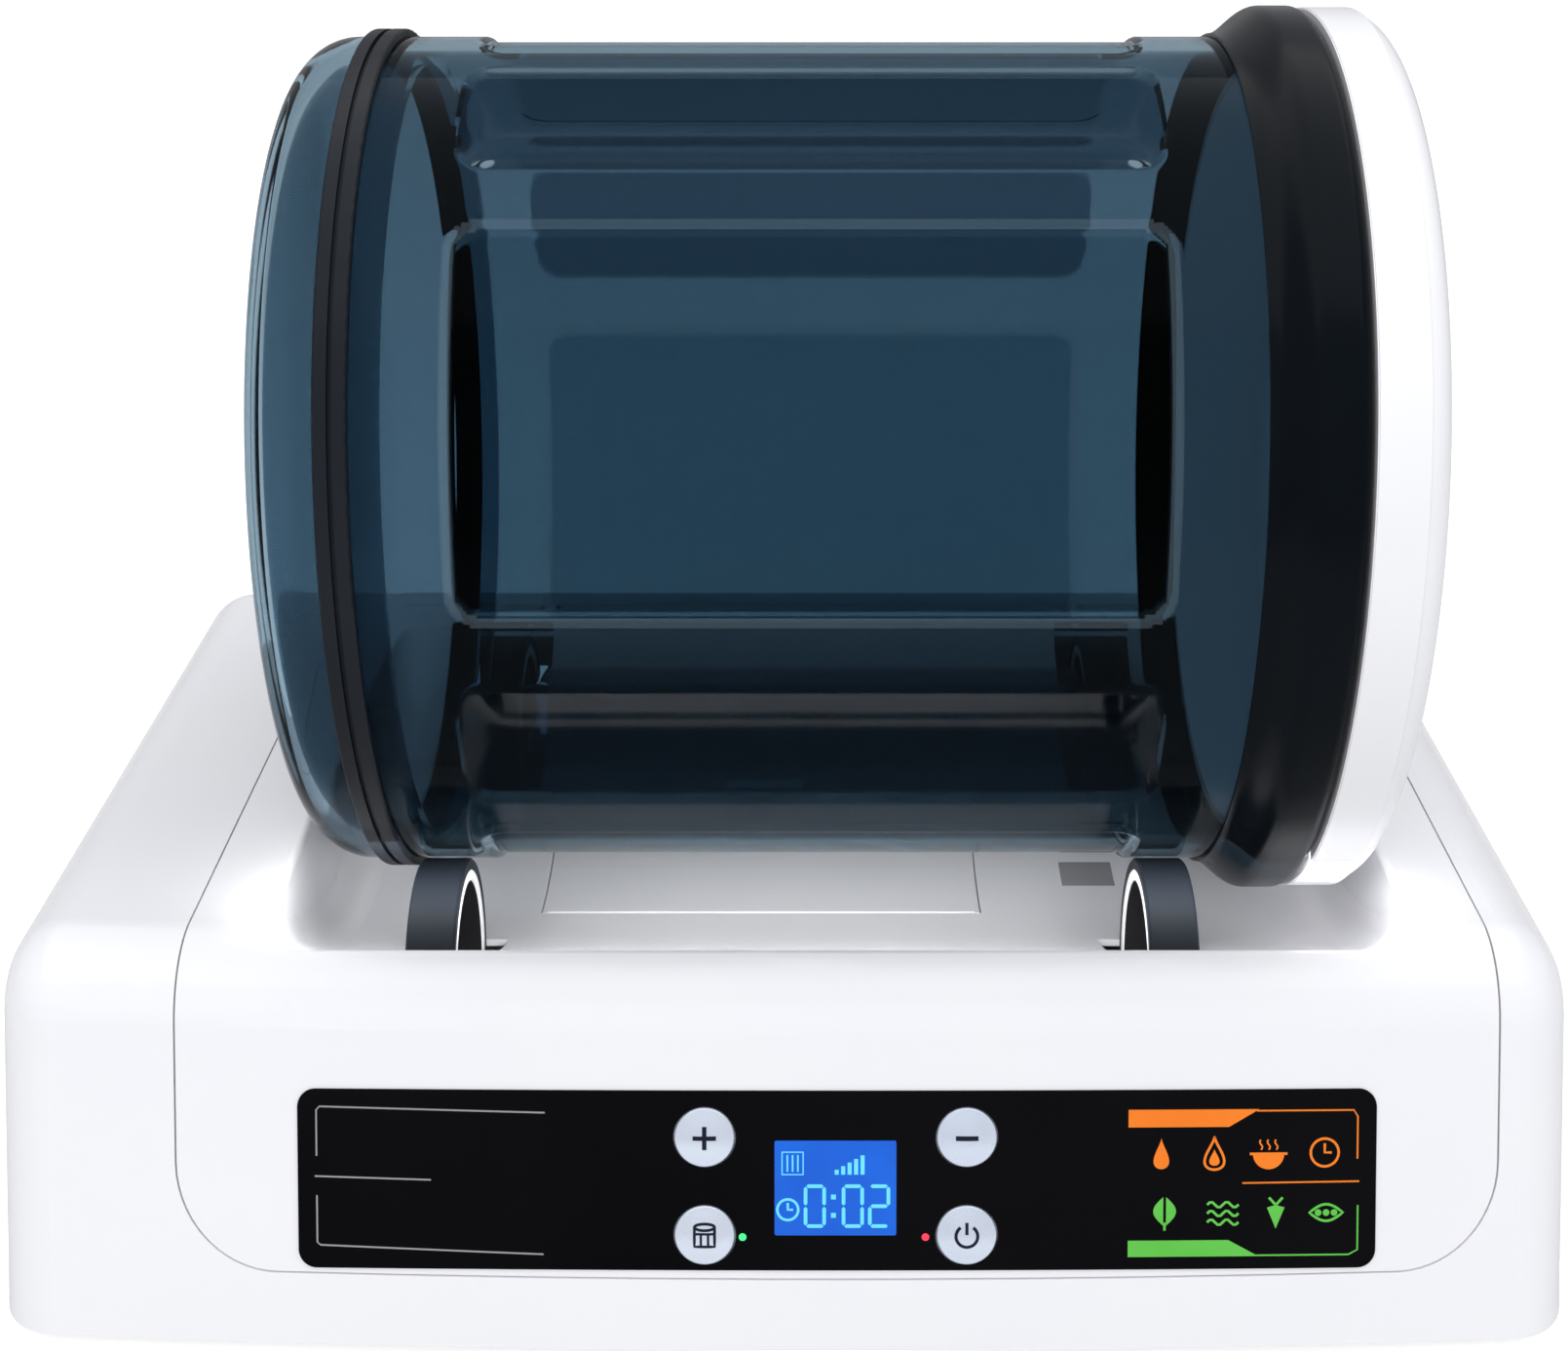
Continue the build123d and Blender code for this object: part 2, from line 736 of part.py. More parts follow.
def gear_outline(teeth, turn, bore):
    """A spur gear with involute flanks, a tooth centred on the angle turn."""
    pitch = gear_module * teeth / 2
    base = pitch * cos(radians(gear_pressure))
    tip = pitch + gear_module
    root = pitch - gear_root_share * gear_module
    half_pitch = 90.0 / teeth - degrees(gear_backlash / 2 / pitch)

    def flank(radius):
        """Half the tooth's angle at a radius."""
        spread = acos(min(1.0, base / radius))
        at_pitch = radians(gear_pressure)
        rolled = (tan(at_pitch) - at_pitch) - (tan(spread) - spread)
        return half_pitch + degrees(rolled)

    start = max(base, root)
    steps = [start + (tip - start) * share for share in flank_shares]
    points = []
    for number in range(teeth):
        centre = turn + number * 360.0 / teeth
        left = [(root, centre - flank(start))] + [(r, centre - flank(r)) for r in steps]
        right = [(r, centre + flank(r)) for r in reversed(steps)] + [(root, centre + flank(start))]
        points += [(r * cos(radians(a)), r * sin(radians(a))) for r, a in left + right]
    return make_face(Polyline(*points, close=True)) - Circle(bore)


flank_shares = (0.0, 0.3, 0.65, 1.0)


def gear(teeth, turn, bore, x0, x1, y, z):
    """A gear blank between two X places, centred on a shaft."""
    outline = gear_outline(teeth, turn, bore)
    return Pos(x0, y, z) * extrude(Plane.YZ * outline, x1 - x0, dir=(1, 0, 0))


def make_roller(shaft_name, side, y):
    """One roller: a dished white wheel with a rubber tyre."""
    x = roller_places()[side]
    inward = 1 if side == "left" else -1
    wheel_radius = roller_radius - tyre_thick
    half = tyre_width / 2
    wheel = rod(x - half, x + half, wheel_radius, y, shaft_z)
    dish_from, dish_to = sorted((x + inward * (half + overrun), x + inward * (hub_web - half)))
    dish = rod(dish_from, dish_to, wheel_radius - hub_rim, y, shaft_z)
    dish = dish - rod(dish_from, dish_to, hub_boss_radius, y, shaft_z)
    wheel = wheel - dish - rod(x - 2 * half, x + 2 * half, hub_bore, y, shaft_z)
    crown = Plane.XZ * make_face(
        Polyline((x - half, wheel_radius), (x - half, roller_radius - tyre_crown),
                 (x - half + tyre_crown, roller_radius), (x + half - tyre_crown, roller_radius),
                 (x + half, roller_radius - tyre_crown), (x + half, wheel_radius), close=True)
    )
    tyre = Pos(0, y, shaft_z) * revolve(crown, Axis.X)
    save(shaft_name + "_wheel_" + side, wheel)
    save(shaft_name + "_tyre_" + side, tyre)


def make_drive():
    """Front shaft with the driven gear, rear shaft, rollers, bushes, pinion and motor."""
    reach_right = roller_right + tyre_width / 2 + shaft_end
    reach_left = roller_left - tyre_width / 2 - shaft_end
    front = rod(gear_place - gear_width / 2 - overrun, reach_right, shaft_radius, -shaft_y, shaft_z)
    rear = rod(reach_left, reach_right, shaft_radius, shaft_y, shaft_z)
    save("drive_shaft", front)
    save("idler_shaft", rear)
    for side in roller_places():
        make_roller("drive", side, -shaft_y)
        make_roller("idler", side, shaft_y)
    x0 = gear_place - gear_width / 2
    x1 = gear_place + gear_width / 2
    gap_turn = mesh_angle - 180.0 / gear_teeth
    driven = gear(gear_teeth, gap_turn, shaft_radius, x0, x1, -shaft_y, shaft_z)
    save("driven_gear", driven)
    pinion = gear(pinion_teeth, mesh_angle + 180.0, pinion_shaft_radius, x0, x1, pinion_y, pinion_z)
    save("motor_pinion", pinion)
    spindle = rod(motor_face + run_gap, x1, pinion_shaft_radius, pinion_y, pinion_z)
    save("motor_spindle", spindle)
    bushes = []
    for y, is_front in ((-shaft_y, True), (shaft_y, False)):
        for x in bush_places(is_front):
            ring = rod(x - bush_length / 2, x + bush_length / 2, bush_radius, y, shaft_z)
            bushes.append(ring - rod(x - bush_length, x + bush_length, shaft_radius + run_gap, y, shaft_z))
    save("shaft_bushes", *bushes)
    can = rod(motor_face - bracket_thick - motor_length, motor_face - bracket_thick, motor_radius,
              pinion_y, pinion_z)
    can = fillet([e for e in can.edges() if e.geom_type == GeomType.CIRCLE], bracket_thick)
    boss = rod(motor_face - bracket_thick, motor_face, motor_boss_radius, pinion_y, pinion_z)
    save("drive_motor", can + boss)
    low = tray_top
    plate = box(motor_face - bracket_thick, motor_face, pinion_y - bracket_half, pinion_y + bracket_half,
                low, pinion_z + bracket_half - overrun)
    top_edges = [e for e in plate.edges().filter_by(Axis.X) if e.center().Z > pinion_z]
    plate = fillet(top_edges, bracket_half / 2)
    foot = box(motor_face - bracket_thick, motor_face + motor_radius / 2, pinion_y - bracket_half,
               pinion_y + bracket_half, low, low + bracket_thick)
    plate = plate + foot - rod(motor_face - reach, motor_face + reach, motor_boss_radius + bond_gap,
                               pinion_y, pinion_z)
    save("motor_bracket", plate)


def make_drum_barrel():
    """Clear tube with sunk windows between inward folds that turn the meat over."""
    barrel = turned([(drum_left, drum_radius - drum_wall), (drum_left, drum_radius),
                     (drum_right, drum_radius), (drum_right, drum_radius - drum_wall)])
    middle = (window_left + window_right) / 2
    length = window_right - window_left
    outer_half = (drum_radius + overrun) * sin(radians(vane_half_angle))
    inner_half = outer_half + drum_wall
    crease = drum_radius - vane_depth
    for number in range(drum_sides):
        turn = window_turn + number * 360.0 / drum_sides
        fold = fold_wedge(middle, length, inner_half, drum_radius + overrun, crease - drum_wall, drum_wall)
        fold = fold & rod(drum_left, drum_right, drum_radius - drum_wall / 2, 0, drum_height)
        barrel = barrel + fold.rotate(drum_axis, -turn - 180.0 / drum_sides)
    for number in range(drum_sides):
        turn = window_turn + number * 360.0 / drum_sides
        groove = fold_wedge(middle, length, outer_half, drum_radius + overrun, crease, 0.0)
        barrel = barrel - groove.rotate(drum_axis, -turn - 180.0 / drum_sides)
        barrel = barrel - sunk_window().rotate(drum_axis, -turn)
    save("drum_barrel", barrel)


def fold_wedge(middle, length, half, high, low, grow):
    """A wedge along X, its edge towards the axis, with sloping ends, standing at -Y."""
    section = make_face(Polyline((-high, -half), (-high, half), (-low, 0), close=True))
    ridge = extrude(Plane.YZ * section, length + 2 * grow, dir=(1, 0, 0))
    ridge = Pos(middle - length / 2 - grow, 0, drum_height) * ridge
    base = length / 2 + grow
    crest = base - vane_hip
    hips = make_face(Polyline((-base, -high), (base, -high), (crest, -low), (-crest, -low), close=True))
    hips = Pos(middle, 0, drum_height - 2 * half) * extrude(hips, 4 * half)
    return ridge & hips


def sunk_window():
    """The shallow sunk field of one window, facing -Y, with rounded corners."""
    floor = drum_radius - window_depth
    outline = make_face(Polyline((window_left, floor), (window_left, drum_radius + overrun),
                                 (window_right, drum_radius + overrun), (window_right, floor), close=True))
    ring = revolve(Plane.XZ * outline, Axis.X, 2 * window_half_angle)
    ring = Pos(0, 0, drum_height) * ring
    start = ring.center()
    angle = degrees(atan2(start.Z - drum_height, -start.Y))
    ring = ring.rotate(drum_axis, angle)
    corners = [e for e in ring.edges().filter_by(GeomType.LINE)
               if abs(e.length - window_depth - overrun) < fit_gap / 2]
    return fillet(corners, window_corner)


def make_drum_ends():
    """End cap, the ribbed ring over its joint, and the flared collar of the mouth."""
    inner = drum_radius - drum_wall
    cap = turned(
        [(cap_left, 0), (cap_left, drum_radius), (drum_left, drum_radius), (drum_left, inner - bond_gap),
         (drum_left + cap_spigot, inner - bond_gap), (drum_left + cap_spigot, inner - drum_wall),
         (cap_left + drum_wall, inner - drum_wall), (cap_left + drum_wall, 0)],
        {1: cap_corner, 6: cap_corner - drum_wall},
    )
    save("drum_end_cap", cap)
    right = ring_left + ring_width
    middle = (ring_left + right) / 2
    crest = drum_radius + ring_height
    valley = crest - ring_groove
    ring = turned([(ring_left, drum_radius + bond_gap), (ring_left, crest), (middle - ring_groove / 2, crest),
                   (middle - ring_groove / 2, valley), (middle + ring_groove / 2, valley),
                   (middle + ring_groove / 2, crest), (right, crest), (right, drum_radius + bond_gap)],
                  {1: ring_groove / 2, 6: ring_groove / 2})
    save("drum_joint_ring", ring)
    seat = flange_right - gasket_thick - clear_gap
    gasket_outer = flange_mouth + gasket_width + lid_spigot_gap
    collar = turned(
        [(flange_left, drum_radius + bond_gap), (flange_left + flange_flare, flange_radius),
         (flange_right, flange_radius), (flange_right, gasket_outer), (seat, gasket_outer),
         (seat, flange_mouth), (drum_right + bond_gap, flange_mouth),
         (drum_right + bond_gap, drum_radius + bond_gap)],
        {1: flange_round, 2: flange_round},
    )
    groove_radius = flange_mouth + lug_height + fit_gap
    groove = lug_ring(lug_left - clear_gap, lug_left + lug_width + clear_gap, groove_radius, 0.0, 360.0)
    collar = collar - groove
    for number in range(lug_count):
        turn = number * 360.0 / lug_count - lid_turn
        collar = collar - lug_ring(lug_left, seat + overrun, flange_mouth + lug_height, turn,
                                   lug_angle + lug_slack)
    save("drum_mouth_collar", collar)


def lug_ring(x0, x1, radius, turn, angle):
    """A stretch of a ring about the drum's axis, round the mouth, centred on the angle turn."""
    outline = make_face(Polyline((x0, flange_mouth - overrun), (x0, radius), (x1, radius),
                                 (x1, flange_mouth - overrun), close=True))
    ring = Pos(0, 0, drum_height) * revolve(Plane.XZ * outline, Axis.X, angle)
    if angle >= 360.0:
        return ring
    centre = ring.center()
    angle_now = degrees(atan2(centre.Y, centre.Z - drum_height))
    return ring.rotate(drum_axis, angle_now + turn)


def make_lid():
    """White lid with a plug that enters the mouth, a stepped face and a middle pocket."""
    plug = flange_mouth - lid_spigot_gap
    lid = turned(
        [(pocket_floor - lid_wall, 0), (pocket_floor - lid_wall, pocket_radius + lid_wall),
         (lid_right - lid_step_depth - lid_wall, pocket_radius + lid_wall),
         (lid_right - lid_step_depth - lid_wall, plug - lid_wall), (lid_inner - lid_spigot, plug - lid_wall),
         (lid_inner - lid_spigot, plug), (lid_inner, plug), (lid_inner, lid_radius),
         (lid_right, lid_radius), (lid_right, lid_step_radius),
         (lid_right - lid_step_depth, lid_step_radius - lid_step_depth),
         (lid_right - lid_step_depth, pocket_radius), (pocket_floor, pocket_radius), (pocket_floor, 0)],
        {8: lid_corner, 12: lid_wall / 2},
    )
    lid = lid - rod(pocket_floor - 2 * lid_wall, lid_right, knob_stem_radius + run_gap, 0, drum_height)
    for number in range(lug_count):
        lug = lug_ring(lug_left, lug_left + lug_width, plug + lug_height - run_gap,
                       number * 360.0 / lug_count, lug_angle)
        lid = lid + lug
    save("drum_lid", lid)
    gasket = turned([(lid_inner - gasket_thick - lid_gap, plug + bond_gap),
                     (lid_inner - gasket_thick - lid_gap, plug + gasket_width),
                     (lid_inner, plug + gasket_width), (lid_inner, plug + bond_gap)],
                    {1: gasket_thick / 4})
    save("lid_gasket", gasket)
    foot = pocket_floor + clear_gap
    knob = rod(foot, foot + knob_height / 2, knob_radius, 0, drum_height)
    grip = box(foot, foot + knob_height, -knob_radius * cos(radians(gear_pressure)),
               knob_radius * cos(radians(gear_pressure)), drum_height - knob_grip_width / 2,
               drum_height + knob_grip_width / 2)
    knob = knob + grip
    stem_left = pocket_floor - lid_wall - clear_gap - valve_nut_height
    knob = knob + rod(stem_left, foot + overrun, knob_stem_radius, 0, drum_height)
    knob = knob - rod(stem_left - overrun, foot + knob_height + overrun, valve_bore, 0, drum_height)
    save("release_knob", knob)
    nut = rod(stem_left, stem_left + valve_nut_height, valve_nut_radius, 0, drum_height)
    nut = nut - rod(stem_left - overrun, stem_left + valve_nut_height + overrun, knob_stem_radius, 0,
                    drum_height)
    save("valve_seal_disc", nut)


def make_tray():
    """Bottom tray with the saddles that carry the shafts, and screw holes."""
    tray = block(shell_wall + fit_gap, shell_bottom) & box(-reach, reach, -reach, reach, shell_bottom,
                                                          tray_top)
    for y, is_front in ((-shaft_y, True), (shaft_y, False)):
        for x in bush_places(is_front):
            saddle = box(x - bush_length / 2, x + bush_length / 2, y - post_half_width, y + post_half_width,
                         shell_bottom, shaft_z)
            gap = box(x - bush_length, x + bush_length, y - bush_radius, y + bush_radius, shaft_z,
                      shell_top)
            tray = tray + saddle - rod(x - bush_length, x + bush_length, bush_radius, y, shaft_z) - gap
    for x, y in foot_places():
        tray = tray - post(x, y, shell_bottom - overrun, shell_bottom + foot_depth, foot_radius)
    for x, y in tray_screw_places():
        tray = tray - post(x, y, shell_bottom - overrun, tray_top + overrun, screw_radius + fit_gap)
        tray = tray - post(x, y, shell_bottom - overrun, shell_bottom + foot_depth,
                           screw_head_radius + fit_gap)
    save("base_tray", tray)
    feet = []
    for x, y in foot_places():
        foot = post(x, y, 0, shell_bottom + foot_depth, foot_radius)
        low = [e for e in foot.edges() if e.center().Z < overrun and e.geom_type == GeomType.CIRCLE]
        feet.append(fillet(low, overrun))
    save("rubber_feet", *feet)


def foot_places():
    """Places of the four feet."""
    return [(x, y) for x in (-foot_x, foot_x) for y in (foot_front, foot_back)]


def tray_screw_places():
    """Places of the screws that hold the tray to the shell's pillars."""
    front = [(x, tray_screw_front) for x in (-tray_screw_x, tray_screw_x)]
    return front + [(x, tray_screw_back) for x in (-tray_screw_x, 0.0, tray_screw_x)]


def make_pillars():
    """Screw pillars between the tray and the shell, and their screws."""
    pillars = []
    screws = []
    for x, y in tray_screw_places():
        pillar = post(x, y, tray_top + bond_gap, shell_top - shell_wall - ledge_wall - overrun, boss_radius)
        pillar = pillar & block(shell_wall + ledge_wall + fit_gap, shell_bottom)
        pillar = pillar - cradle(cradle_wall + fit_gap)
        pillar = pillar - post(x, y, shell_bottom, shell_bottom + foot_depth + screw_length + overrun,
                                screw_radius)
        pillars.append(pillar)
        screws.append(screw(x, y, shell_bottom + foot_depth, screw_length))
    save("shell_pillars", *pillars)
    save("tray_screws", *screws)


def make_pump():
    """Diaphragm pump and its motor on rubber mounts, and the tube to the hose bin."""
    back = pump_front + pump_motor_length
    motor = Pos(pump_x, (pump_front + back) / 2, pump_height) * Rot(90, 0, 0) * Cylinder(
        pump_motor_radius, pump_motor_length)
    motor = fillet([e for e in motor.edges() if e.geom_type == GeomType.CIRCLE], bracket_thick)
    save("pump_motor", motor)
    low = tray_top + pump_mount_height
    head = box(pump_x - pump_head_width / 2, pump_x + pump_head_width / 2, back + bond_gap,
               back + pump_head_length, low, low + pump_head_height)
    upright = head.edges().filter_by(Axis.Y)
    head = fillet(upright, ring_height)
    for number in range(pump_rib_count):
        z = low + pump_head_height * (number + 1) / (pump_rib_count + 1)
        head = head - box(pump_x - reach, pump_x - pump_head_width / 2 + ring_height, back + ring_height,
                          back + pump_head_length - ring_height, z - ring_groove, z + ring_groove)
    y, z = pump_outlet()
    side = pump_x + pump_head_width / 2
    barb = rod(side - overrun, side + barb_length, barb_radius, y, z)
    save("vacuum_pump", head + barb)
    mounts = []
    for x in (pump_x - pump_mount_spread, pump_x + pump_mount_spread):
        for share in mount_shares:
            mounts.append(post(x, back + pump_head_length * share, tray_top, low, pump_mount_radius))
    mounts.append(saddle_block(back))
    save("pump_mounts", *mounts)
    y0, z0 = port_place()
    x0 = pump_x + pump_head_width / 2 + bond_gap
    x1 = hatch_left - bin_lap - bond_gap
    run = barb_length * 2
    points = [(x0, y, z), (x0 + run, y, z), (x1 - run, y0, z0), (x1, y0, z0)]
    path = FilletPolyline(*points, radius=tube_bend)
    ring = Plane(origin=points[0], z_dir=(1, 0, 0)) * (Circle(barb_radius + tube_radius / 2) - Circle(
        barb_radius + bond_gap))
    tube = sweep(ring, path=path)
    print("pump tube: length", round(path.length, 1), "volume", round(tube.volume, 1))
    save("pump_tube", tube)


def saddle_block(back):
    """Rubber saddle under the pump's motor."""
    y = (pump_front + back) / 2
    block_half = pump_mount_radius * 2
    saddle = box(pump_x - block_half, pump_x + block_half, y - pump_mount_radius, y + pump_mount_radius,
                 tray_top, pump_height)
    return saddle - Pos(pump_x, y, pump_height) * Rot(90, 0, 0) * Cylinder(
        pump_motor_radius + bond_gap, pump_motor_length)


def pump_outlet():
    """Y and Z of the pump's suction barb."""
    y = pump_front + pump_motor_length + pump_head_length / 2
    return y, tray_top + pump_mount_height + pump_head_height / 2


def make_power():
    """Mains inlet, power board and transformer."""
    back = half_depth
    front = back - inlet_depth
    body = box(inlet_x - inlet_length / 2, inlet_x + inlet_length / 2, front, back,
               inlet_height - inlet_width / 2, inlet_height + inlet_width / 2)
    rim = box(inlet_x - inlet_length / 2 - inlet_flange, inlet_x + inlet_length / 2 + inlet_flange,
              back - shell_wall - inlet_flange_thick, back - shell_wall,
              inlet_height - inlet_width / 2 - inlet_flange, inlet_height + inlet_width / 2 + inlet_flange)
    cavity = box(inlet_x - inlet_cavity_length / 2, inlet_x + inlet_cavity_length / 2,
                 back - inlet_cavity_depth, back + overrun,
                 inlet_height - inlet_cavity_width / 2, inlet_height + inlet_cavity_width / 2)
    upright = cavity.edges().filter_by(Axis.Y)
    cavity = fillet(upright, inlet_cavity_width * inlet_round_share)
    save("mains_inlet", body + rim - cavity)
    pins = []
    for side in (-1, 1):
        pin = Pos(inlet_x + side * pin_spacing / 2, back - inlet_cavity_depth + pin_length / 2, inlet_height)
        pins.append(pin * Rot(90, 0, 0) * Cylinder(pin_radius, pin_length))
    save("inlet_pins", *pins)
    low = tray_top + power_lift
    board = box(power_x - power_length / 2, power_x + power_length / 2, power_y - power_width / 2,
                power_y + power_width / 2, low, low + board_thick)
    legs = []
    half_x = power_length / 2 - boss_radius
    half_y = power_width / 2 - boss_radius
    corners = [(power_x + side * half_x, power_y + end * half_y) for side in (-1, 1) for end in (-1, 1)]
    for x, y in corners:
        legs.append(post(x, y, tray_top, low, standoff_radius))
    save("power_board", board)
    save("board_pillars", *legs)
    top = low + board_thick
    core = box(transformer_x - transformer_length / 2, transformer_x + transformer_length / 2,
               power_y - transformer_width / 2, power_y + transformer_width / 2, top,
               top + transformer_height)
    slots = box(transformer_x - transformer_length / 4, transformer_x + transformer_length / 4,
                power_y - transformer_width / 2 - overrun, power_y + transformer_width / 2 + overrun,
                top + transformer_height / 4, top + transformer_height * 3 / 4)
    coil = box(transformer_x - transformer_length / 4, transformer_x + transformer_length / 4,
               power_y - transformer_width / 2 - overrun, power_y + transformer_width / 2 + overrun,
               top + transformer_height / 4, top + transformer_height * 3 / 4)
    save("transformer_core", core - slots)
    save("transformer_coil", coil)
    cans = []
    rear = front - capacitor_radius - overrun
    for y in (rear - capacitor_spacing, rear):
        cans.append(post(capacitor_x, y, top, top + capacitor_height, capacitor_radius))
    save("capacitors", *cans)


def main():
    whole = skin()
    make_outer_shell(whole)
    make_top_cover(whole)
    make_panel()
    make_display()
    make_buttons()
    make_board()
    make_hatch()
    make_bin()
    make_hose()
    make_sensor_lens()
    make_drive()
    make_drum_barrel()
    make_drum_ends()
    make_lid()
    make_tray()
    make_pillars()
    make_pump()
    make_power()


os.makedirs("parts", exist_ok=True)
main()
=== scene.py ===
import json
from math import atan2, ceil, cos, hypot, pi, radians, sin, tan

import bmesh
import bpy
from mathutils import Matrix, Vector


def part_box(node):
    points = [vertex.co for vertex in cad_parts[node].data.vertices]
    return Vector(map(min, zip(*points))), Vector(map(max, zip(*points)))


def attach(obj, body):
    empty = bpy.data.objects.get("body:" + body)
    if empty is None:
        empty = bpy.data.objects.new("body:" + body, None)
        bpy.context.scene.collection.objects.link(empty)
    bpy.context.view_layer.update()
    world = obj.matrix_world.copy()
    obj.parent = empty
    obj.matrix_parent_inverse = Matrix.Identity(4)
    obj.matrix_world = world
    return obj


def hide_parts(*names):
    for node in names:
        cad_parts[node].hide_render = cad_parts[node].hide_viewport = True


# Looks of a table-top vacuum tumbler. Sizes are in millimetres and degrees, turned to metres by mm.
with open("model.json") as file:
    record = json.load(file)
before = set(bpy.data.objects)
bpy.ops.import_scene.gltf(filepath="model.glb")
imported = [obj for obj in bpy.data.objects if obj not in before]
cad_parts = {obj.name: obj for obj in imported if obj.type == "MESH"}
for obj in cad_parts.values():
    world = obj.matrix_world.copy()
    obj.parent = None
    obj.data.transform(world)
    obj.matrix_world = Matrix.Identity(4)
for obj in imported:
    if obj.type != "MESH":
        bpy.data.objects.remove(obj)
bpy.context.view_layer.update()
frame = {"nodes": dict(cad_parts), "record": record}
nodes = frame["nodes"]
mm = 0.001
merge_distance = 0.001
sharp_turn = 35.0
collar_sharp_turn = 50.0
print_sharp_turn = 20.0

# Camera, from the photograph's perspective
camera_place = (6.5, -613.0, 395.0)
camera_pitch = 23.95
camera_lens = 54.1
camera_sensor = 36.0
camera_shift = -0.0158

# Front face and control panel
front_lean = 21.0
half_depth = 146.0
shell_bottom = 4.0
bow_radius = 3200.0
panel_middle = 13.5
panel_height = 44.0
panel_proud = 0.5
print_thick = 0.05
line_width = 0.4
sign_width = 0.62
longest_step = 8.0
dome_step = 1.0
arc_steps = 10

# Drum
drum_height = 189.0
drum_radius = 110.0
drum_wall = 3.5
drum_left = -102.0
drum_right = 121.0
window_turn = 22.5
window_half_angle = 25.4
window_left = -77.4
window_right = 91.6
window_depth = 1.4
window_corner = 8.0
window_bevel = 2.3
fold_depth = 9.0
fold_half_angle = 10.5
fold_hip = 10.0
fold_soft_share = 0.2
quarter = 90.0

# Spacing of the barrel's mesh: along in millimetres, round it in degrees
zone_margin = 1.0
zone_reach = 12.0
zone_turn = 5.5
fine_along = 0.8
coarse_along = 8.0
fine_turn = 0.5
coarse_turn = 2.5

# Drum ends: cap, and collar round the mouth
cap_left = -124.5
cap_corner = 14.0
cap_spigot = 10.0
joint_gap = 0.05
collar_left = 111.0
collar_right = 133.3
collar_radius = 117.8
collar_lip = 0.9
collar_flare = 12.0
collar_round = 3.5
flare_steps = 12
seat_depth = 2.7
seat_radius = 108.5
mouth_radius = 103.0
groove_left = 122.3
groove_right = 125.9
groove_radius = 105.0
lug_turn = 30.0
lug_half_angle = 8.0

# Hatch in the cradle
cradle_radius = 135.0
bead_radius = 0.6
bead_inset = 1.5

# Suction hose in the bin and the pump's tube: their routes and sizes
hose_route = [(-61.45, -8.4, 20.5), (49.3, -8.4, 20.5), (49.3, 44.9, 20.5), (-63.9, 44.9, 29.5),
              (-63.9, -8.4, 29.8), (-7.3, -8.4, 29.8)]
hose_thick = 8.0
tube_route = [(-143.95, 89.0, 32.0), (-125.95, 89.0, 32.0), (-91.55, -8.4, 20.5), (-73.55, -8.4, 20.5)]
tube_thick = 9.9
cord_rings = 24
cord_sides = 6

# Lid band, the shallow step round the lid's rim
lid_radius = 117.0
lid_left = 134.2
band_right = 146.2
band_proud = 0.35
band_sunk = 1.0

# Steps round the turned pieces
cap_steps = 192
collar_steps = 240
wheel_steps = 96
bead_steps = 24

# Rollers
wheel_radius = 28.0
wheel_half = 6.25
wheel_rim = 3.0
wheel_boss = 6.0
wheel_bore = 3.0
wheel_web = 4.0
wheel_round = 0.6
boss_round = 0.5
dish_margin = 1.0

# Buttons
button_radius = 7.5
button_proud = 1.6
button_crown = 1.25
button_edge = 0.7
button_flange = 0.6
button_depth = 2.5
button_flange_thick = 1.0
button_stem_radius = 2.5
button_stem_depth = 7.2
button_high = 10.8
button_low = -13.7
button_left = -32.8
button_right = 32.1
button_steps = 64
crown_steps = 6

# Print on the panel and the display, about the panel's middle, and steps in its curves
circle_steps = 24
drop_steps = 28
leaf_steps = 12
pea_steps = 11
orange_row = 6.6
green_row = -8.5
digit_row = -6.3
digit_width = 4.6
digit_height = 10.0
bar_width = 0.9
bar_gap = 0.15
display_clock = 2.6

# Print on the buttons: widths of their lines and reaches of their signs
plus_width = 1.1
plus_reach = 2.9
minus_width = 1.2
minus_reach = 2.8
power_width = 0.8
power_radius = 2.7
rim_width = 0.7
stave_width = 0.6

# Patterns in the finishes: the range that noise keeps to, and waves per metre in tint and in gloss
noise_low = 0.3
noise_high = 0.7
noise_detail = 3.0
grain_detail = 2.0
moulded_cloud = 9.0
moulded_wear = 45.0
smoked_cloud = 7.0
smoked_wear = 30.0
lit_cloud = 60.0

# Gloss of lit signs and of the floor
lit_roughness = 0.2
lit_specular = 0.15
floor_roughness = 0.8

# Light: the bend of light in clear plastic, the floor's size and white, and the world's light
clear_ior = 1.08
floor_size = 30.0
floor_tone = 0.7
floor_glow = 0.62
world_tint = (0.95, 0.96, 1.0, 1.0)
world_light = 0.45
world_seen = 1.0


def new_material(name):
    """An empty material with its output and a principled shader."""
    material = bpy.data.materials.new(name)
    material.use_nodes = True
    tree = material.node_tree
    tree.nodes.clear()
    output = tree.nodes.new("ShaderNodeOutputMaterial")
    shader = tree.nodes.new("ShaderNodeBsdfPrincipled")
    tree.links.new(shader.outputs["BSDF"], output.inputs["Surface"])
    return material, tree, shader


def noise(tree, scale, detail=noise_detail):
    """Noise in the object's own coordinates, scale in waves per metre."""
    place = tree.nodes.get("place") or tree.nodes.new("ShaderNodeTexCoord")
    place.name = "place"
    texture = tree.nodes.new("ShaderNodeTexNoise")
    texture.inputs["Scale"].default_value = scale
    texture.inputs["Detail"].default_value = detail
    tree.links.new(place.outputs["Object"], texture.inputs["Vector"])
    return texture.outputs["Fac"]


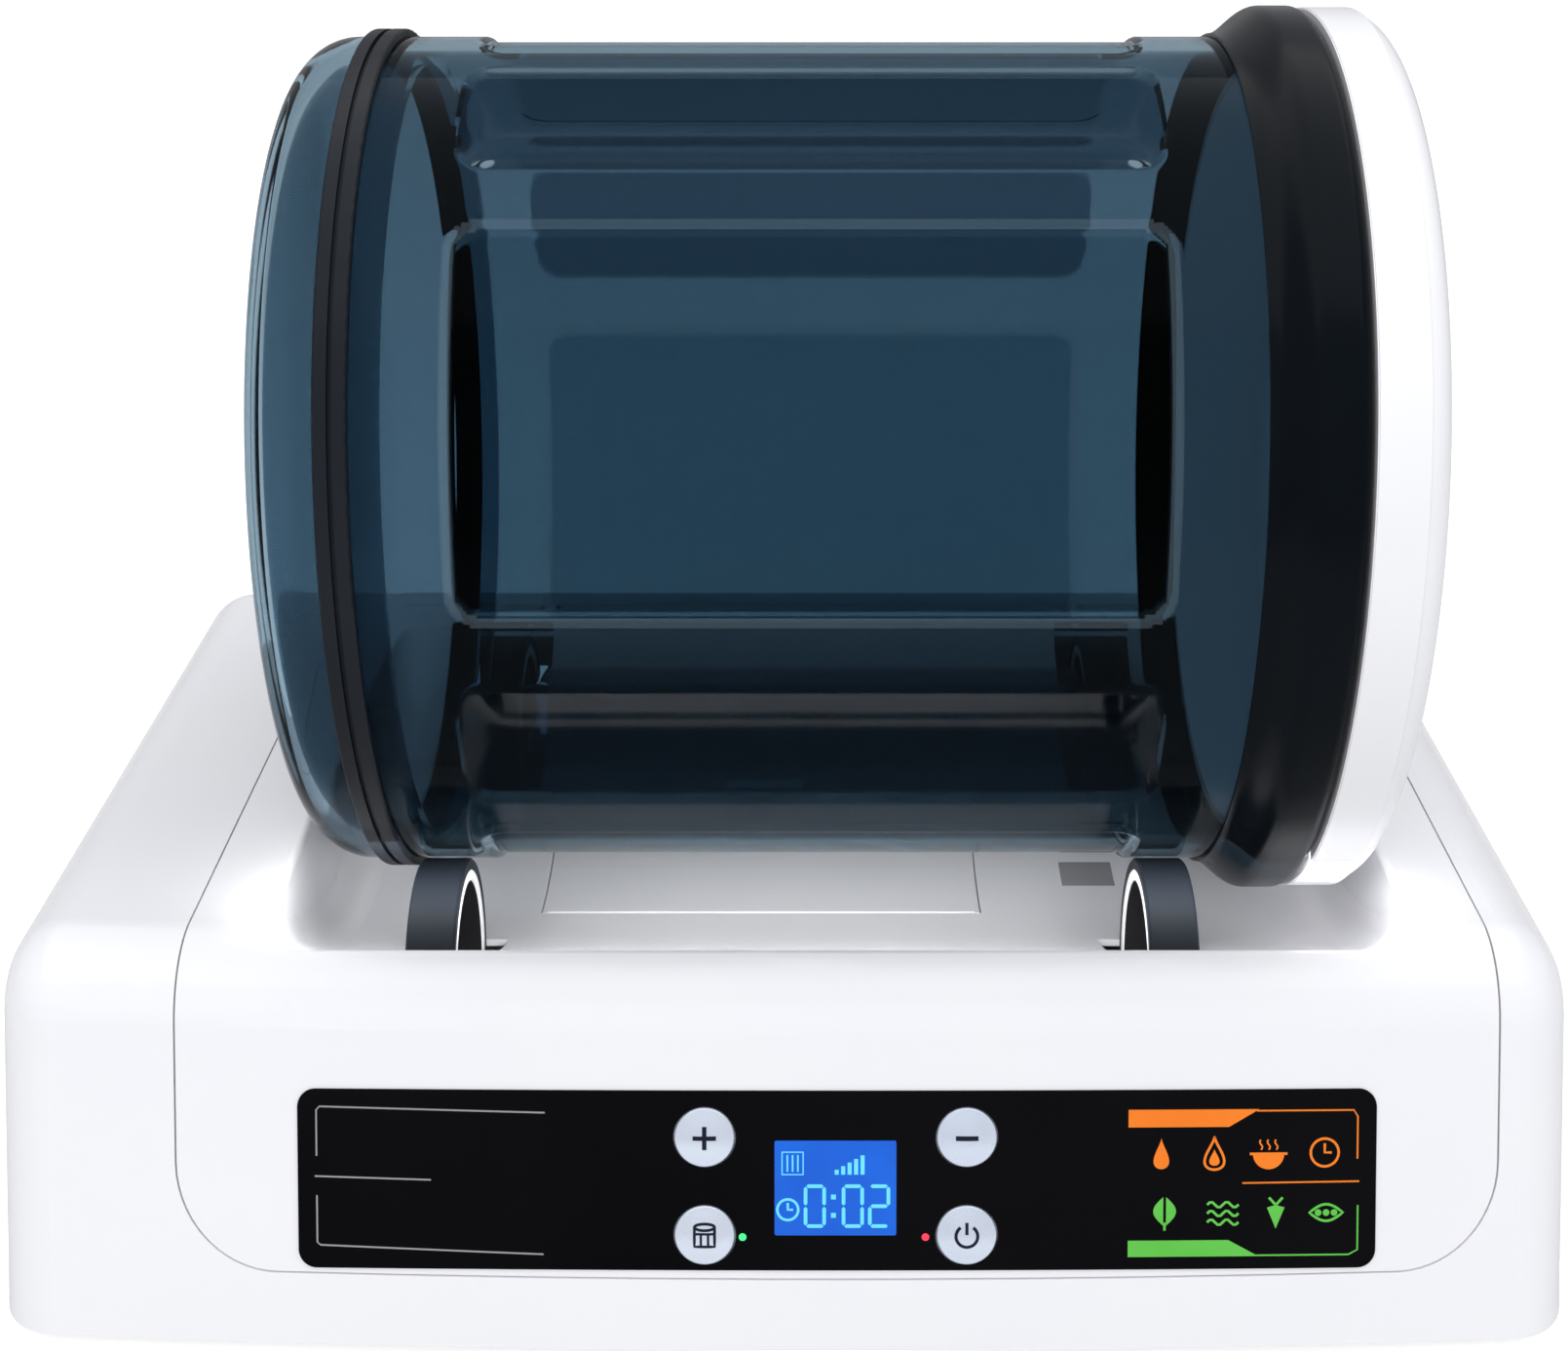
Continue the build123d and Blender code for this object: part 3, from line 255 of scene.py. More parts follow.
def ranged(tree, value, low, high):
    """Maps a texture's middle range to low..high."""
    spread = tree.nodes.new("ShaderNodeMapRange")
    spread.inputs["From Min"].default_value = noise_low
    spread.inputs["From Max"].default_value = noise_high
    spread.inputs["To Min"].default_value = low
    spread.inputs["To Max"].default_value = high
    tree.links.new(value, spread.inputs["Value"])
    return spread.outputs["Result"]


def mixed(tree, value, first, second):
    """A colour between two colours."""
    mix = tree.nodes.new("ShaderNodeMix")
    mix.data_type = "RGBA"
    mix.inputs["A"].default_value = (*first, 1.0)
    mix.inputs["B"].default_value = (*second, 1.0)
    tree.links.new(value, mix.inputs["Factor"])
    return mix.outputs["Result"]


def bumped(tree, shader, value, distance):
    """Adds relief of a depth in millimetres."""
    bump = tree.nodes.new("ShaderNodeBump")
    bump.inputs["Distance"].default_value = distance * mm
    tree.links.new(value, bump.inputs["Height"])
    tree.links.new(bump.outputs["Normal"], shader.inputs["Normal"])


def tinted(tree, shader, scale, colour, other):
    """Gives the shader a colour that drifts between two tints."""
    cloud = ranged(tree, noise(tree, scale), 0.0, 1.0)
    tree.links.new(mixed(tree, cloud, colour, other), shader.inputs["Base Color"])


def moulded(name, colour, other, rough, grain, depth, specular=0.5, metallic=0.0):
    """Moulded plastic, rubber or metal: cloudy colour, uneven gloss and a fine grain."""
    material, tree, shader = new_material(name)
    tinted(tree, shader, moulded_cloud, colour, other)
    tree.links.new(ranged(tree, noise(tree, moulded_wear), *rough), shader.inputs["Roughness"])
    bumped(tree, shader, noise(tree, grain, grain_detail), depth)
    shader.inputs["Specular IOR Level"].default_value = specular
    shader.inputs["Metallic"].default_value = metallic
    return material


def smoked(name, colour, other, rough, clear, specular):
    """Clear plastic with a smoky tint, which lets light through; clear is the share that it lets by."""
    material, tree, shader = new_material(name)
    tinted(tree, shader, smoked_cloud, colour, other)
    tree.links.new(ranged(tree, noise(tree, smoked_wear), *rough), shader.inputs["Roughness"])
    shader.inputs["IOR"].default_value = clear_ior
    shader.inputs["Transmission Weight"].default_value = clear
    shader.inputs["Specular IOR Level"].default_value = specular
    return material


def lit(name, colour, other, light, strength):
    """A lit display or lamp, or print with a painted glow."""
    material, tree, shader = new_material(name)
    tinted(tree, shader, lit_cloud, colour, other)
    shader.inputs["Roughness"].default_value = lit_roughness
    shader.inputs["Specular IOR Level"].default_value = lit_specular
    shader.inputs["Emission Color"].default_value = (*light, 1.0)
    shader.inputs["Emission Strength"].default_value = strength
    return material


# Finishes: two tints to drift between, gloss, and for moulded ones the grain's fineness and depth
white_plastic = moulded("white_plastic", (0.86, 0.86, 0.88), (0.84, 0.84, 0.87), (0.16, 0.24), 900.0, 0.004)
white_satin = moulded("white_satin", (0.82, 0.82, 0.83), (0.78, 0.78, 0.80), (0.35, 0.5), 1500.0, 0.01)
smoke_wall = smoked("smoke_wall", (0.195, 0.285, 0.35), (0.185, 0.272, 0.335), (0.02, 0.05), 0.992, 0.1)
smoke_window = smoked("smoke_window", (0.115, 0.195, 0.25), (0.105, 0.185, 0.24), (0.01, 0.03), 1.0, 0.1)
# The folds' darker, less clear tint is painted shade in their creases and steep walls.
smoke_fold_painted_shade = smoked("smoke_fold_painted_shade", (0.07, 0.125, 0.175), (0.06, 0.115, 0.165), (0.03, 0.06), 0.97, 0.1)
# The windows' frames get a lighter, less clear tint: a painted highlight along the bevels.
smoke_frame_painted_highlight = smoked("smoke_frame_painted_highlight", (0.25, 0.34, 0.40), (0.22, 0.31, 0.37), (0.05, 0.1), 0.88, 0.3)
black_plastic = moulded("black_plastic", (0.0015, 0.003, 0.005), (0.003, 0.005, 0.007), (0.2, 0.28), 700.0,
                        0.004, specular=0.07)
black_rubber = moulded("black_rubber", (0.007, 0.009, 0.013), (0.013, 0.016, 0.021), (0.4, 0.6), 1800.0,
                       0.02, specular=0.14)
silicone_rubber = moulded("silicone_rubber", (0.70, 0.71, 0.73), (0.64, 0.65, 0.68), (0.4, 0.55), 1200.0,
                          0.01)
panel_gloss = moulded("panel_gloss", (0.002, 0.002, 0.003), (0.004, 0.004, 0.005), (0.05, 0.1), 500.0,
                      0.002, specular=0.05)
button_metal = moulded("button_metal", (0.78, 0.84, 0.95), (0.72, 0.79, 0.92), (0.22, 0.32), 2500.0,
                       0.004, metallic=0.45)
board_green = moulded("board_green", (0.02, 0.16, 0.07), (0.03, 0.22, 0.09), (0.3, 0.45), 700.0, 0.01)
dark_plastic = moulded("dark_plastic", (0.012, 0.012, 0.014), (0.02, 0.02, 0.022), (0.4, 0.55), 1200.0,
                       0.02)
steel = moulded("steel", (0.55, 0.56, 0.58), (0.62, 0.63, 0.65), (0.2, 0.35), 1500.0, 0.005, metallic=1.0)
bronze = moulded("bronze", (0.55, 0.38, 0.18), (0.6, 0.43, 0.22), (0.3, 0.4), 2000.0, 0.01, metallic=1.0)
copper = moulded("copper", (0.70, 0.33, 0.16), (0.62, 0.28, 0.13), (0.25, 0.4), 1500.0, 0.03, metallic=1.0)
nylon = moulded("nylon", (0.82, 0.80, 0.72), (0.78, 0.76, 0.68), (0.4, 0.5), 1500.0, 0.01)
sensor_grey = moulded("sensor_grey", (0.36, 0.35, 0.36), (0.32, 0.31, 0.33), (0.15, 0.25), 900.0, 0.004)
display_blue = lit("display_blue", (0.01, 0.06, 0.35), (0.01, 0.09, 0.45), (0.012, 0.10, 0.55), 0.55)
display_cyan = lit("display_cyan", (0.10, 0.45, 0.75), (0.12, 0.5, 0.8), (0.10, 0.52, 0.95), 0.6)
green_glow = lit("green_glow", (0.05, 0.7, 0.15), (0.05, 0.8, 0.2), (0.05, 0.9, 0.2), 1.0)
red_glow = lit("red_glow", (0.75, 0.03, 0.05), (0.8, 0.04, 0.06), (0.9, 0.04, 0.08), 1.0)
silver_print = moulded("silver_print", (0.34, 0.34, 0.36), (0.28, 0.28, 0.30), (0.3, 0.4), 3000.0, 0.001)
# The orange and green print glow faintly: painted light on top of the ink's colour.
glowing_orange_print = lit("glowing_orange_print", (0.80, 0.20, 0.02), (0.75, 0.17, 0.02), (0.85, 0.22, 0.02), 0.15)
glowing_green_print = lit("glowing_green_print", (0.10, 0.45, 0.06), (0.12, 0.50, 0.08), (0.10, 0.45, 0.06), 0.15)
navy_print = moulded("navy_print", (0.006, 0.008, 0.02), (0.01, 0.012, 0.03), (0.4, 0.5), 3000.0, 0.001,
                     specular=0.2)

slot_materials = {
    "white_shell": white_plastic,
    "smoke_drum": smoke_wall,
    "black_collar": black_plastic,
    "black_rubber": black_rubber,
    "silicone": silicone_rubber,
    "white_hub": white_satin,
    "panel_black": panel_gloss,
    "display_glass": display_blue,
    "display_blue": display_blue,
    "button_silver": button_metal,
    "green_light": green_glow,
    "red_light": red_glow,
    "circuit_board": board_green,
    "dark_plastic": dark_plastic,
    "steel": steel,
    "bronze": bronze,
    "copper": copper,
    "gear_nylon": nylon,
    "sensor_grey": sensor_grey,
}


def dress_nodes():
    """Gives each carried-over part the finish of its slot."""
    for row in frame["record"]["subparts"]:
        part = nodes[row["node"]]
        part.data.materials.clear()
        part.data.materials.append(slot_materials[row["material_slot"]])


def piece_from(name, points, faces, materials, body, pick=None, sharp=sharp_turn):
    """A mesh piece from points in millimetres, smooth but for its sharp edges, that moves with a body.

    pick gives the number of the material for the middle of a face."""
    mesh = bpy.data.meshes.new(name)
    mesh.from_pydata([Vector(point) * mm for point in points], [], faces)
    shape = bmesh.new()
    shape.from_mesh(mesh)
    bmesh.ops.remove_doubles(shape, verts=shape.verts, dist=merge_distance * mm)
    bmesh.ops.recalc_face_normals(shape, faces=shape.faces)
    shape.to_mesh(mesh)
    shape.free()
    for material in materials:
        mesh.materials.append(material)
    for polygon in mesh.polygons:
        polygon.use_smooth = True
        if pick:
            polygon.material_index = pick(polygon.center / mm)
    mesh.set_sharp_from_angle(angle=radians(sharp))
    piece = bpy.data.objects.new(name, mesh)
    bpy.context.scene.collection.objects.link(piece)
    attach(piece, body)
    return piece


def rounded(outline, rounds):
    """The outline with arcs at some corners: rounds gives a radius for a corner's number."""
    points = []
    for number, corner in enumerate(outline):
        radius = rounds.get(number)
        here = Vector(corner)
        if not radius:
            points.append(here)
            continue
        before = (Vector(outline[number - 1]) - here).normalized()
        after = (Vector(outline[(number + 1) % len(outline)]) - here).normalized()
        half = before.angle(after) / 2
        centre = here + (before + after).normalized() * radius / sin(half)
        start = here + before * radius / tan(half) - centre
        end = here + after * radius / tan(half) - centre
        first = atan2(start.y, start.x)
        sweep = (atan2(end.y, end.x) - first + pi) % (2 * pi) - pi
        for step in range(arc_steps + 1):
            angle = first + sweep * step / arc_steps
            points.append(centre + Vector((cos(angle), sin(angle))) * radius)
    return points


def turned(outline, rounds, place, steps, shaped=None):
    """Points and faces of a closed outline of (along, radius), turned about a line along X.

    shaped gives the radius again for a place along and an angle, where it isn't the same all round."""
    ring = rounded(outline, rounds)
    points = []
    for along, radius in ring:
        for step in range(steps):
            angle = 2 * pi * step / steps
            here = shaped(along, radius, angle) if shaped else radius
            points.append((along, place[0] - here * cos(angle), place[1] + here * sin(angle)))
    faces = []
    for row in range(len(ring)):
        after = (row + 1) % len(ring)
        if ring[row][1] == 0.0 and ring[after][1] == 0.0:
            continue
        for step in range(steps):
            beside = (step + 1) % steps
            faces.append((row * steps + step, row * steps + beside,
                          after * steps + beside, after * steps + step))
    return points, faces


def stations(start, end, zones, fine, coarse):
    """Places from start to end, close together inside the zones and wide apart elsewhere."""
    places = [start]
    while end - places[-1] > fine / 2:
        here = places[-1]
        inside = any(low - fine / 4 <= here < high - fine / 4 for low, high in zones)
        step = fine if inside else coarse
        for low, high in zones:
            if here < low - fine / 4:
                step = min(step, low - here)
        places.append(min(end, here + step))
    return places


def from_middle(turn, middle):
    """How far a turn is from the nearest of four places a quarter apart, one at middle, in degrees."""
    return (turn - middle + quarter / 2) % quarter - quarter / 2


def window_edge(x, turn):
    """Distance to the nearest window's outline, below zero inside it."""
    middle = (window_left + window_right) / 2
    half_length = (window_right - window_left) / 2
    half_width = radians(window_half_angle) * drum_radius
    across = abs(radians(from_middle(turn, window_turn))) * drum_radius - half_width + window_corner
    along = abs(x - middle) - half_length + window_corner
    outside = hypot(max(across, 0.0), max(along, 0.0))
    return outside + min(max(across, along), 0.0) - window_corner


def fold_out(x, turn):
    """How far out in the nearest fold a place is: 0 at its crease, 1 at its border."""
    middle = (window_left + window_right) / 2
    half_length = (window_right - window_left) / 2
    across = abs(from_middle(turn, window_turn + quarter / 2)) / fold_half_angle
    along = max(abs(x - middle) - half_length + fold_hip, 0.0) / fold_hip
    return (across ** 4 + along ** 4) ** 0.25


def barrel_radius(x, turn):
    """The barrel's outside radius at a place along it and an elevation from the front."""
    share = min(max(-window_edge(x, turn) / window_bevel, 0.0), 1.0)
    radius = drum_radius - window_depth * share * share * (3 - 2 * share)
    out = fold_out(x, turn)
    if out >= 1.0:
        return radius
    out = hypot(out, fold_soft_share) / hypot(1.0, fold_soft_share)
    crease = drum_radius - fold_depth
    side = radians(out * fold_half_angle)
    reach = drum_radius * cos(radians(fold_half_angle)) - crease
    spread = drum_radius * sin(radians(fold_half_angle))
    return crease / (cos(side) - sin(side) * reach / spread)


def barrel_stations():
    """The places along the barrel and the turns round it, closest at the windows' and folds' edges."""
    ends = [(window_left - zone_margin, window_left + zone_reach),
            (window_right - zone_reach, window_right + zone_margin)]
    places = stations(drum_left, drum_right, ends, fine_along, coarse_along)
    edge = window_half_angle
    fold = quarter / 2 - fold_half_angle - zone_margin
    zones = [(-quarter / 2, -fold), (-edge - zone_margin, -edge + zone_turn),
             (edge - zone_turn, edge + zone_margin), (fold, quarter / 2)]
    turns = []
    for number in range(4):
        quadrant = stations(-quarter / 2, quarter / 2, zones, fine_turn, coarse_turn)[:-1]
        turns += [window_turn + number * quarter + turn for turn in quadrant]
    return places, turns


def barrel_finish(middle):
    """The number of the finish at a place on the barrel: wall, window, its frame with a painted highlight,
    or fold with painted shade.
    """
    turn = atan2(middle.z - drum_height, -middle.y) * 180.0 / pi
    edge = window_edge(middle.x, turn)
    if edge < -window_bevel:
        return 1
    if edge < 0.0:
        return 2
    return 3 if fold_out(middle.x, turn) < 1.0 else 0


def make_barrel():
    """The clear barrel with its sunk windows and inward folds, as a closed wall."""
    places, turns = barrel_stations()
    steps = len(turns)
    points = []
    for thick in (0.0, drum_wall):
        for x in places:
            for turn in turns:
                radius = barrel_radius(x, turn)
                if thick:
                    radius = min(drum_radius - thick, radius - thick)
                angle = radians(turn)
                points.append((x, -radius * cos(angle), drum_height + radius * sin(angle)))
    faces = []
    inner = len(places) * steps
    for row in range(len(places) - 1):
        for step in range(steps):
            beside = (step + 1) % steps
            ring = (row * steps + step, row * steps + beside, (row + 1) * steps + beside,
                    (row + 1) * steps + step)
            faces.append(ring)
            faces.append(tuple(inner + number for number in reversed(ring)))
    for row in (0, len(places) - 1):
        for step in range(steps):
            beside = (step + 1) % steps
            faces.append((row * steps + step, row * steps + beside, inner + row * steps + beside,
                          inner + row * steps + step))
    # The frame's lighter tint is a painted highlight and the folds' darker tint is painted shade.
    finishes = [smoke_wall, smoke_window, smoke_frame_painted_highlight, smoke_fold_painted_shade]
    barrel = piece_from("drum_barrel_skin", points, faces, finishes, "drum", barrel_finish)
    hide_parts("drum_barrel")


def make_cap():
    """The drum's rounded end cap with its spigot."""
    inner = drum_radius - drum_wall - joint_gap
    outline = [(cap_left, 0.0), (cap_left, drum_radius), (drum_left, drum_radius), (drum_left, inner),
               (drum_left + cap_spigot, inner), (drum_left + cap_spigot, inner - drum_wall),
               (cap_left + drum_wall, inner - drum_wall), (cap_left + drum_wall, 0.0)]
    points, faces = turned(outline, {1: cap_corner, 6: cap_corner - drum_wall}, (0.0, drum_height),
                           cap_steps)
    cap = piece_from("drum_end_dome", points, faces, [smoke_wall], "drum")
    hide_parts("drum_end_cap")


def make_collar():
    """The black collar: a lip, a soft flare, the rim, the gasket's seat and the ways in for the lugs."""
    flare = []
    for step in range(flare_steps + 1):
        share = step / flare_steps
        rise = (collar_radius - drum_radius - collar_lip) * (1 - cos(pi * share)) / 2
        flare.append((collar_left + collar_flare * share, drum_radius + collar_lip + rise))
    seat = collar_right - seat_depth
    inside = drum_right + joint_gap
    outline = [(collar_left, drum_radius + joint_gap)] + flare + [
        (collar_right, collar_radius), (collar_right, seat_radius), (seat, seat_radius),
        (seat, mouth_radius), (groove_right, mouth_radius), (groove_right, groove_radius),
        (groove_left, groove_radius), (groove_left, mouth_radius), (inside, mouth_radius),
        (inside, drum_radius + joint_gap)]

    def shaped(along, radius, angle):
        """The mouth's bore, with four ways in for the lid's lugs."""
        in_way = abs(from_middle(angle * 180.0 / pi, lug_turn)) < lug_half_angle
        if in_way and radius == mouth_radius and along > groove_left:
            return groove_radius
        return radius

    points, faces = turned(outline, {len(flare) + 1: collar_round}, (0.0, drum_height), collar_steps,
                           shaped)
    collar = piece_from("drum_collar", points, faces, [black_plastic], "drum",
                        sharp=collar_sharp_turn)
    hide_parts("drum_mouth_collar")


def make_hatch_bead():
    """The rounded bright edge along the front of the hatch."""
    low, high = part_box("hatch_door")
    left = low[0] / mm + bead_inset
    right = high[0] / mm - bead_inset
    front = low[1] / mm + bead_radius
    level = drum_height - ((cradle_radius - bead_radius / 2) ** 2 - front ** 2) ** 0.5 - bead_radius
    outline = [(left, 0.0), (left, bead_radius), (right, bead_radius), (right, 0.0)]
    points, faces = turned(outline, {1: bead_radius / 2, 2: bead_radius / 2}, (front, level), bead_steps)
    bead = piece_from("hatch_front_edge", points, faces, [white_plastic], "hatch")


def make_cord(name, route, thick):
    """A smooth flexible tube that follows the points of its route."""
    curve = bpy.data.curves.new(name, "CURVE")
    curve.dimensions = "3D"
    curve.bevel_depth = thick / 2 * mm
    curve.bevel_resolution = cord_sides
    curve.resolution_u = cord_rings
    curve.use_fill_caps = True
    spline = curve.splines.new("NURBS")
    spline.points.add(len(route) - 1)
    for point, place in zip(spline.points, route):
        point.co = (*(Vector(place) * mm), 1.0)
    spline.order_u = 3
    spline.use_endpoint_u = True
    curve.materials.append(silicone_rubber)
    cord = bpy.data.objects.new(name, curve)
    bpy.context.scene.collection.objects.link(cord)
    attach(cord, "base")
    return cord


def make_cords():
    """The suction hose with its nozzle, laid in the bin, and the pump's tube."""
    hose = make_cord("suction_hose_loop", hose_route, hose_thick)
    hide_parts("suction_hose")
    tube = make_cord("pump_tube_line", tube_route, tube_thick)
    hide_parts("pump_tube")


def make_lid_band():
    """The shallow raised band round the lid's rim, next to the collar."""
    outline = [(lid_left, lid_radius - band_sunk), (lid_left, lid_radius + band_proud),
               (band_right, lid_radius + band_proud), (band_right, lid_radius - band_sunk)]
    points, faces = turned(outline, {1: band_proud / 2, 2: band_proud}, (0.0, drum_height), cap_steps)
    band = piece_from("lid_rim_band", points, faces, [white_plastic], "lid")


def make_wheel(node, body, inward):
    """One roller wheel, white, with painted shade in the hollow on the side that inward gives along X, and
    the same dark on its back.
    """
    low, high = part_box(node)
    middle = (Vector(low) + Vector(high)) / 2 / mm
    dish = wheel_radius - wheel_rim
    web = wheel_web - wheel_half
    offsets = [(-wheel_half, wheel_bore), (-wheel_half, wheel_radius), (wheel_half, wheel_radius),
               (wheel_half, dish), (web, dish), (web, wheel_boss), (wheel_half, wheel_boss),
               (wheel_half, wheel_bore)]
    outline = [(middle.x + inward * along, radius) for along, radius in offsets]
    points, faces = turned(outline, {2: wheel_round, 3: wheel_round, 6: boss_round},
                           (middle.y, middle.z), wheel_steps)

    def pick(place):
        """Painted shade between the boss and the rim in the hollow, the same dark on the back, white
        elsewhere.
        """
        deep = inward * (place.x - middle.x) < wheel_half - dish_margin
        radius = hypot(place.y - middle.y, place.z - middle.z)
        return 1 if deep and wheel_boss - boss_round < radius < wheel_radius - dish_margin else 0

    # Here dark_plastic stands for painted shade in the hollow.
    wheel = piece_from(node + "_dish", points, faces, [white_satin, dark_plastic], body, pick)
    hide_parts(node)


def make_wheels():
    """The four dished roller wheels."""
    for shaft, body in (("drive", "drive_axle"), ("idler", "idler_axle")):
        for side, inward in (("left", 1.0), ("right", -1.0)):
            make_wheel(shaft + "_wheel_" + side, body, inward)


def panel_point(across, up, lift):
    """A place on the panel's bowed face: across it, up its slope and off its face."""
    lean = radians(front_lean)
    front = -half_depth + (panel_height - shell_bottom) * tan(lean)
    out = panel_proud + lift - across * across / (2 * bow_radius) * cos(lean)
    return Vector((panel_middle + across, front + up * sin(lean) - out * cos(lean),
                   panel_height + up * cos(lean) + out * sin(lean)))


def flat_face(across, up):
    """The height of the panel's own face."""
    return 0.0


def divided(points, closed, longest):
    """The points with more between them, so that no side is longer than a length."""
    route = []
    last = len(points) if closed else len(points) - 1
    for number in range(last):
        here = Vector(points[number])
        after = Vector(points[(number + 1) % len(points)])
        steps = max(1, ceil((after - here).length / longest))
        route += [here.lerp(after, step / steps) for step in range(steps)]
    if not closed:
        route.append(Vector(points[-1]))
    return route


def area(points):
    """A thin closed field in print with the outline given, which follows the panel's bow."""
    outline = divided(points, True, longest_step)
    count = len(outline)
    low = [panel_point(across, up, -print_thick) for across, up in outline]
    high = [panel_point(across, up, print_thick) for across, up in outline]
    faces = [tuple(range(count)), tuple(range(count, 2 * count))]
    faces += [(n, (n + 1) % count, (n + 1) % count + count, n + count) for n in range(count)]
    return low + high, faces


def stroke(points, width=line_width, closed=False, height=flat_face):
    """A thin printed line along the points, which follows the panel's bow or the height given."""
    route = divided(points, closed, longest_step)
    count = len(route)
    sides = []
    for number, here in enumerate(route):
        before = route[number - 1] if closed or number else here
        after = route[(number + 1) % count] if closed or number < count - 1 else here
        along = (after - before).normalized()
        aside = Vector((-along.y, along.x)) * width / 2
        sides.append((here + aside, here - aside))
    points = []
    for lift in (-print_thick, print_thick):
        for left, right in sides:
            points.append(panel_point(left.x, left.y, height(left.x, left.y) + lift))
            points.append(panel_point(right.x, right.y, height(right.x, right.y) + lift))
    faces = []
    for number in range(count if closed else count - 1):
        a = 2 * number
        b = 2 * ((number + 1) % count)
        top = 2 * count
        faces += [(a, a + 1, b + 1, b), (top + a, top + a + 1, top + b + 1, top + b),
                  (a, b, top + b, top + a), (a + 1, b + 1, top + b + 1, top + a + 1)]
    if not closed:
        for a in (0, 2 * count - 2):
            faces.append((a, a + 1, 2 * count + a + 1, 2 * count + a))
    return points, faces


def printed(name, marks, material, body="base"):
    """One piece from many marks of the same ink."""
    points = []
    faces = []
    for mark_points, mark_faces in marks:
        start = len(points)
        points += mark_points
        faces += [tuple(start + number for number in face) for face in mark_faces]
    return piece_from(name, points, faces, [material], body, sharp=print_sharp_turn)


def arc(middle, radius, start, end, steps=circle_steps):
    """Points on an arc between two angles in degrees."""
    angles = [radians(start + (end - start) * step / steps) for step in range(steps + 1)]
    return [(middle[0] + radius * cos(angle), middle[1] + radius * sin(angle)) for angle in angles]


def moved(points, middle):
    """The points set about another middle."""
    return [(middle[0] + across, middle[1] + up) for across, up in points]


def drop_shape(middle, wide, high):
    """The outline of a drop with its point up."""
    turns = [2 * pi * step / drop_steps for step in range(drop_steps)]
    return moved([(wide * sin(turn) * sin(turn / 2) ** 2, high * cos(turn)) for turn in turns], middle)


def drop_sign(middle):
    """A full drop."""
    return [area(drop_shape(middle, 3.0, 3.9))]


def flame_sign(middle):
    """A full drop within the outline of a larger one."""
    lower = (middle[0], middle[1] - 1.0)
    return [stroke(drop_shape(middle, 3.8, 4.1), sign_width, True), area(drop_shape(lower, 2.0, 2.1))]


def bowl_sign(middle):
    """A bowl with three wisps of steam."""
    marks = [area(arc((middle[0], middle[1] - 0.2), 3.9, 180, 360)),
             stroke(moved([(-4.7, -0.2), (4.7, -0.2)], middle), sign_width)]
    for across in (-1.9, 0.0, 1.9):
        wisp = [(across + 0.35 * sin(step), 0.8 + step * 0.42) for step in range(7)]
        marks.append(stroke(moved(wisp, middle)))
    return marks


def clock_sign(middle, radius=3.5):
    """A round clock with two hands."""
    return [stroke(arc(middle, radius, 0, 345), sign_width, True),
            stroke(moved([(0.0, radius * 0.65), (0.0, 0.0), (radius * 0.5, 0.0)], middle), sign_width)]


def leaf_sign(middle):
    """A leaf in two full halves, with its stem between them."""
    half = [(0.35 + 2.5 * sin(pi * step / leaf_steps), 7.2 * step / leaf_steps - 3.0)
            for step in range(leaf_steps + 1)]
    other = [(-across, up) for across, up in half]
    return [area(moved(half, middle)), area(moved(other, middle)),
            stroke(moved([(0.0, -4.2), (0.0, -2.2)], middle), sign_width)]


def root_sign(middle):
    """A pointed root with two sprigs."""
    body = [(-2.2, 1.4), (0.0, 2.0), (2.2, 1.4), (0.0, -3.9)]
    return [area(moved(body, middle)), stroke(moved([(0.0, 2.0), (-1.7, 3.9)], middle), sign_width),
            stroke(moved([(0.0, 2.0), (1.7, 3.9)], middle), sign_width)]


def wave_sign(middle):
    """Three waves."""
    marks = []
    for up in (-2.2, 0.0, 2.2):
        wave = [(-3.9 + 0.65 * step, up + 0.7 * sin(step * pi / 3)) for step in range(13)]
        marks.append(stroke(moved(wave, middle), sign_width))
    return marks


def pod_sign(middle):
    """A pod with three peas."""
    upper = [(-4.2 + 0.7 * step, 2.1 * sin(pi * step / leaf_steps)) for step in range(leaf_steps + 1)]
    lower = [(across, -up) for across, up in reversed(upper[1:-1])]
    marks = [stroke(moved(upper + lower, middle), sign_width, True)]
    for across in (-2.0, 0.0, 2.0):
        marks.append(area(arc((middle[0] + across, middle[1]), 0.85, 0, 330, pea_steps)))
    return marks


def make_panel_print():
    """The lines, bands and signs on the black panel."""
    silver = [
        stroke([(-129.2, 5.7), (-129.2, 17.2), (-128.4, 18.1), (-72.3, 16.9)]),
        stroke([(-129.7, 0.6), (-100.7, -0.1)]),
        stroke([(-129.2, -4.2), (-129.2, -16.0), (-128.4, -16.7), (-72.8, -18.6)]),
    ]
    printed("panel_lines_silver", silver, silver_print)
    orange = [
        area([(72.1, 17.6), (104.6, 17.6), (97.1, 13.2), (72.1, 13.2)]),
        stroke([(104.0, 17.2), (128.2, 17.2), (129.2, 15.6), (129.2, 5.0)]),
        stroke([(100.5, -0.9), (129.7, -0.7)]),
    ]
    for across, sign in ((80.3, drop_sign), (93.5, flame_sign), (107.0, bowl_sign), (121.0, clock_sign)):
        orange += sign((across, orange_row))
    printed("panel_marks_orange", orange, glowing_orange_print)
    green = [
        area([(72.1, -15.2), (97.1, -15.2), (104.6, -19.3), (72.1, -19.3)]),
        stroke([(104.0, -19.1), (127.2, -19.1), (129.4, -17.9), (129.4, -6.7)]),
    ]
    for across, sign in ((81.2, leaf_sign), (95.7, wave_sign), (108.9, root_sign), (121.5, pod_sign)):
        green += sign((across, green_row))
    printed("panel_marks_green", green, glowing_green_print)


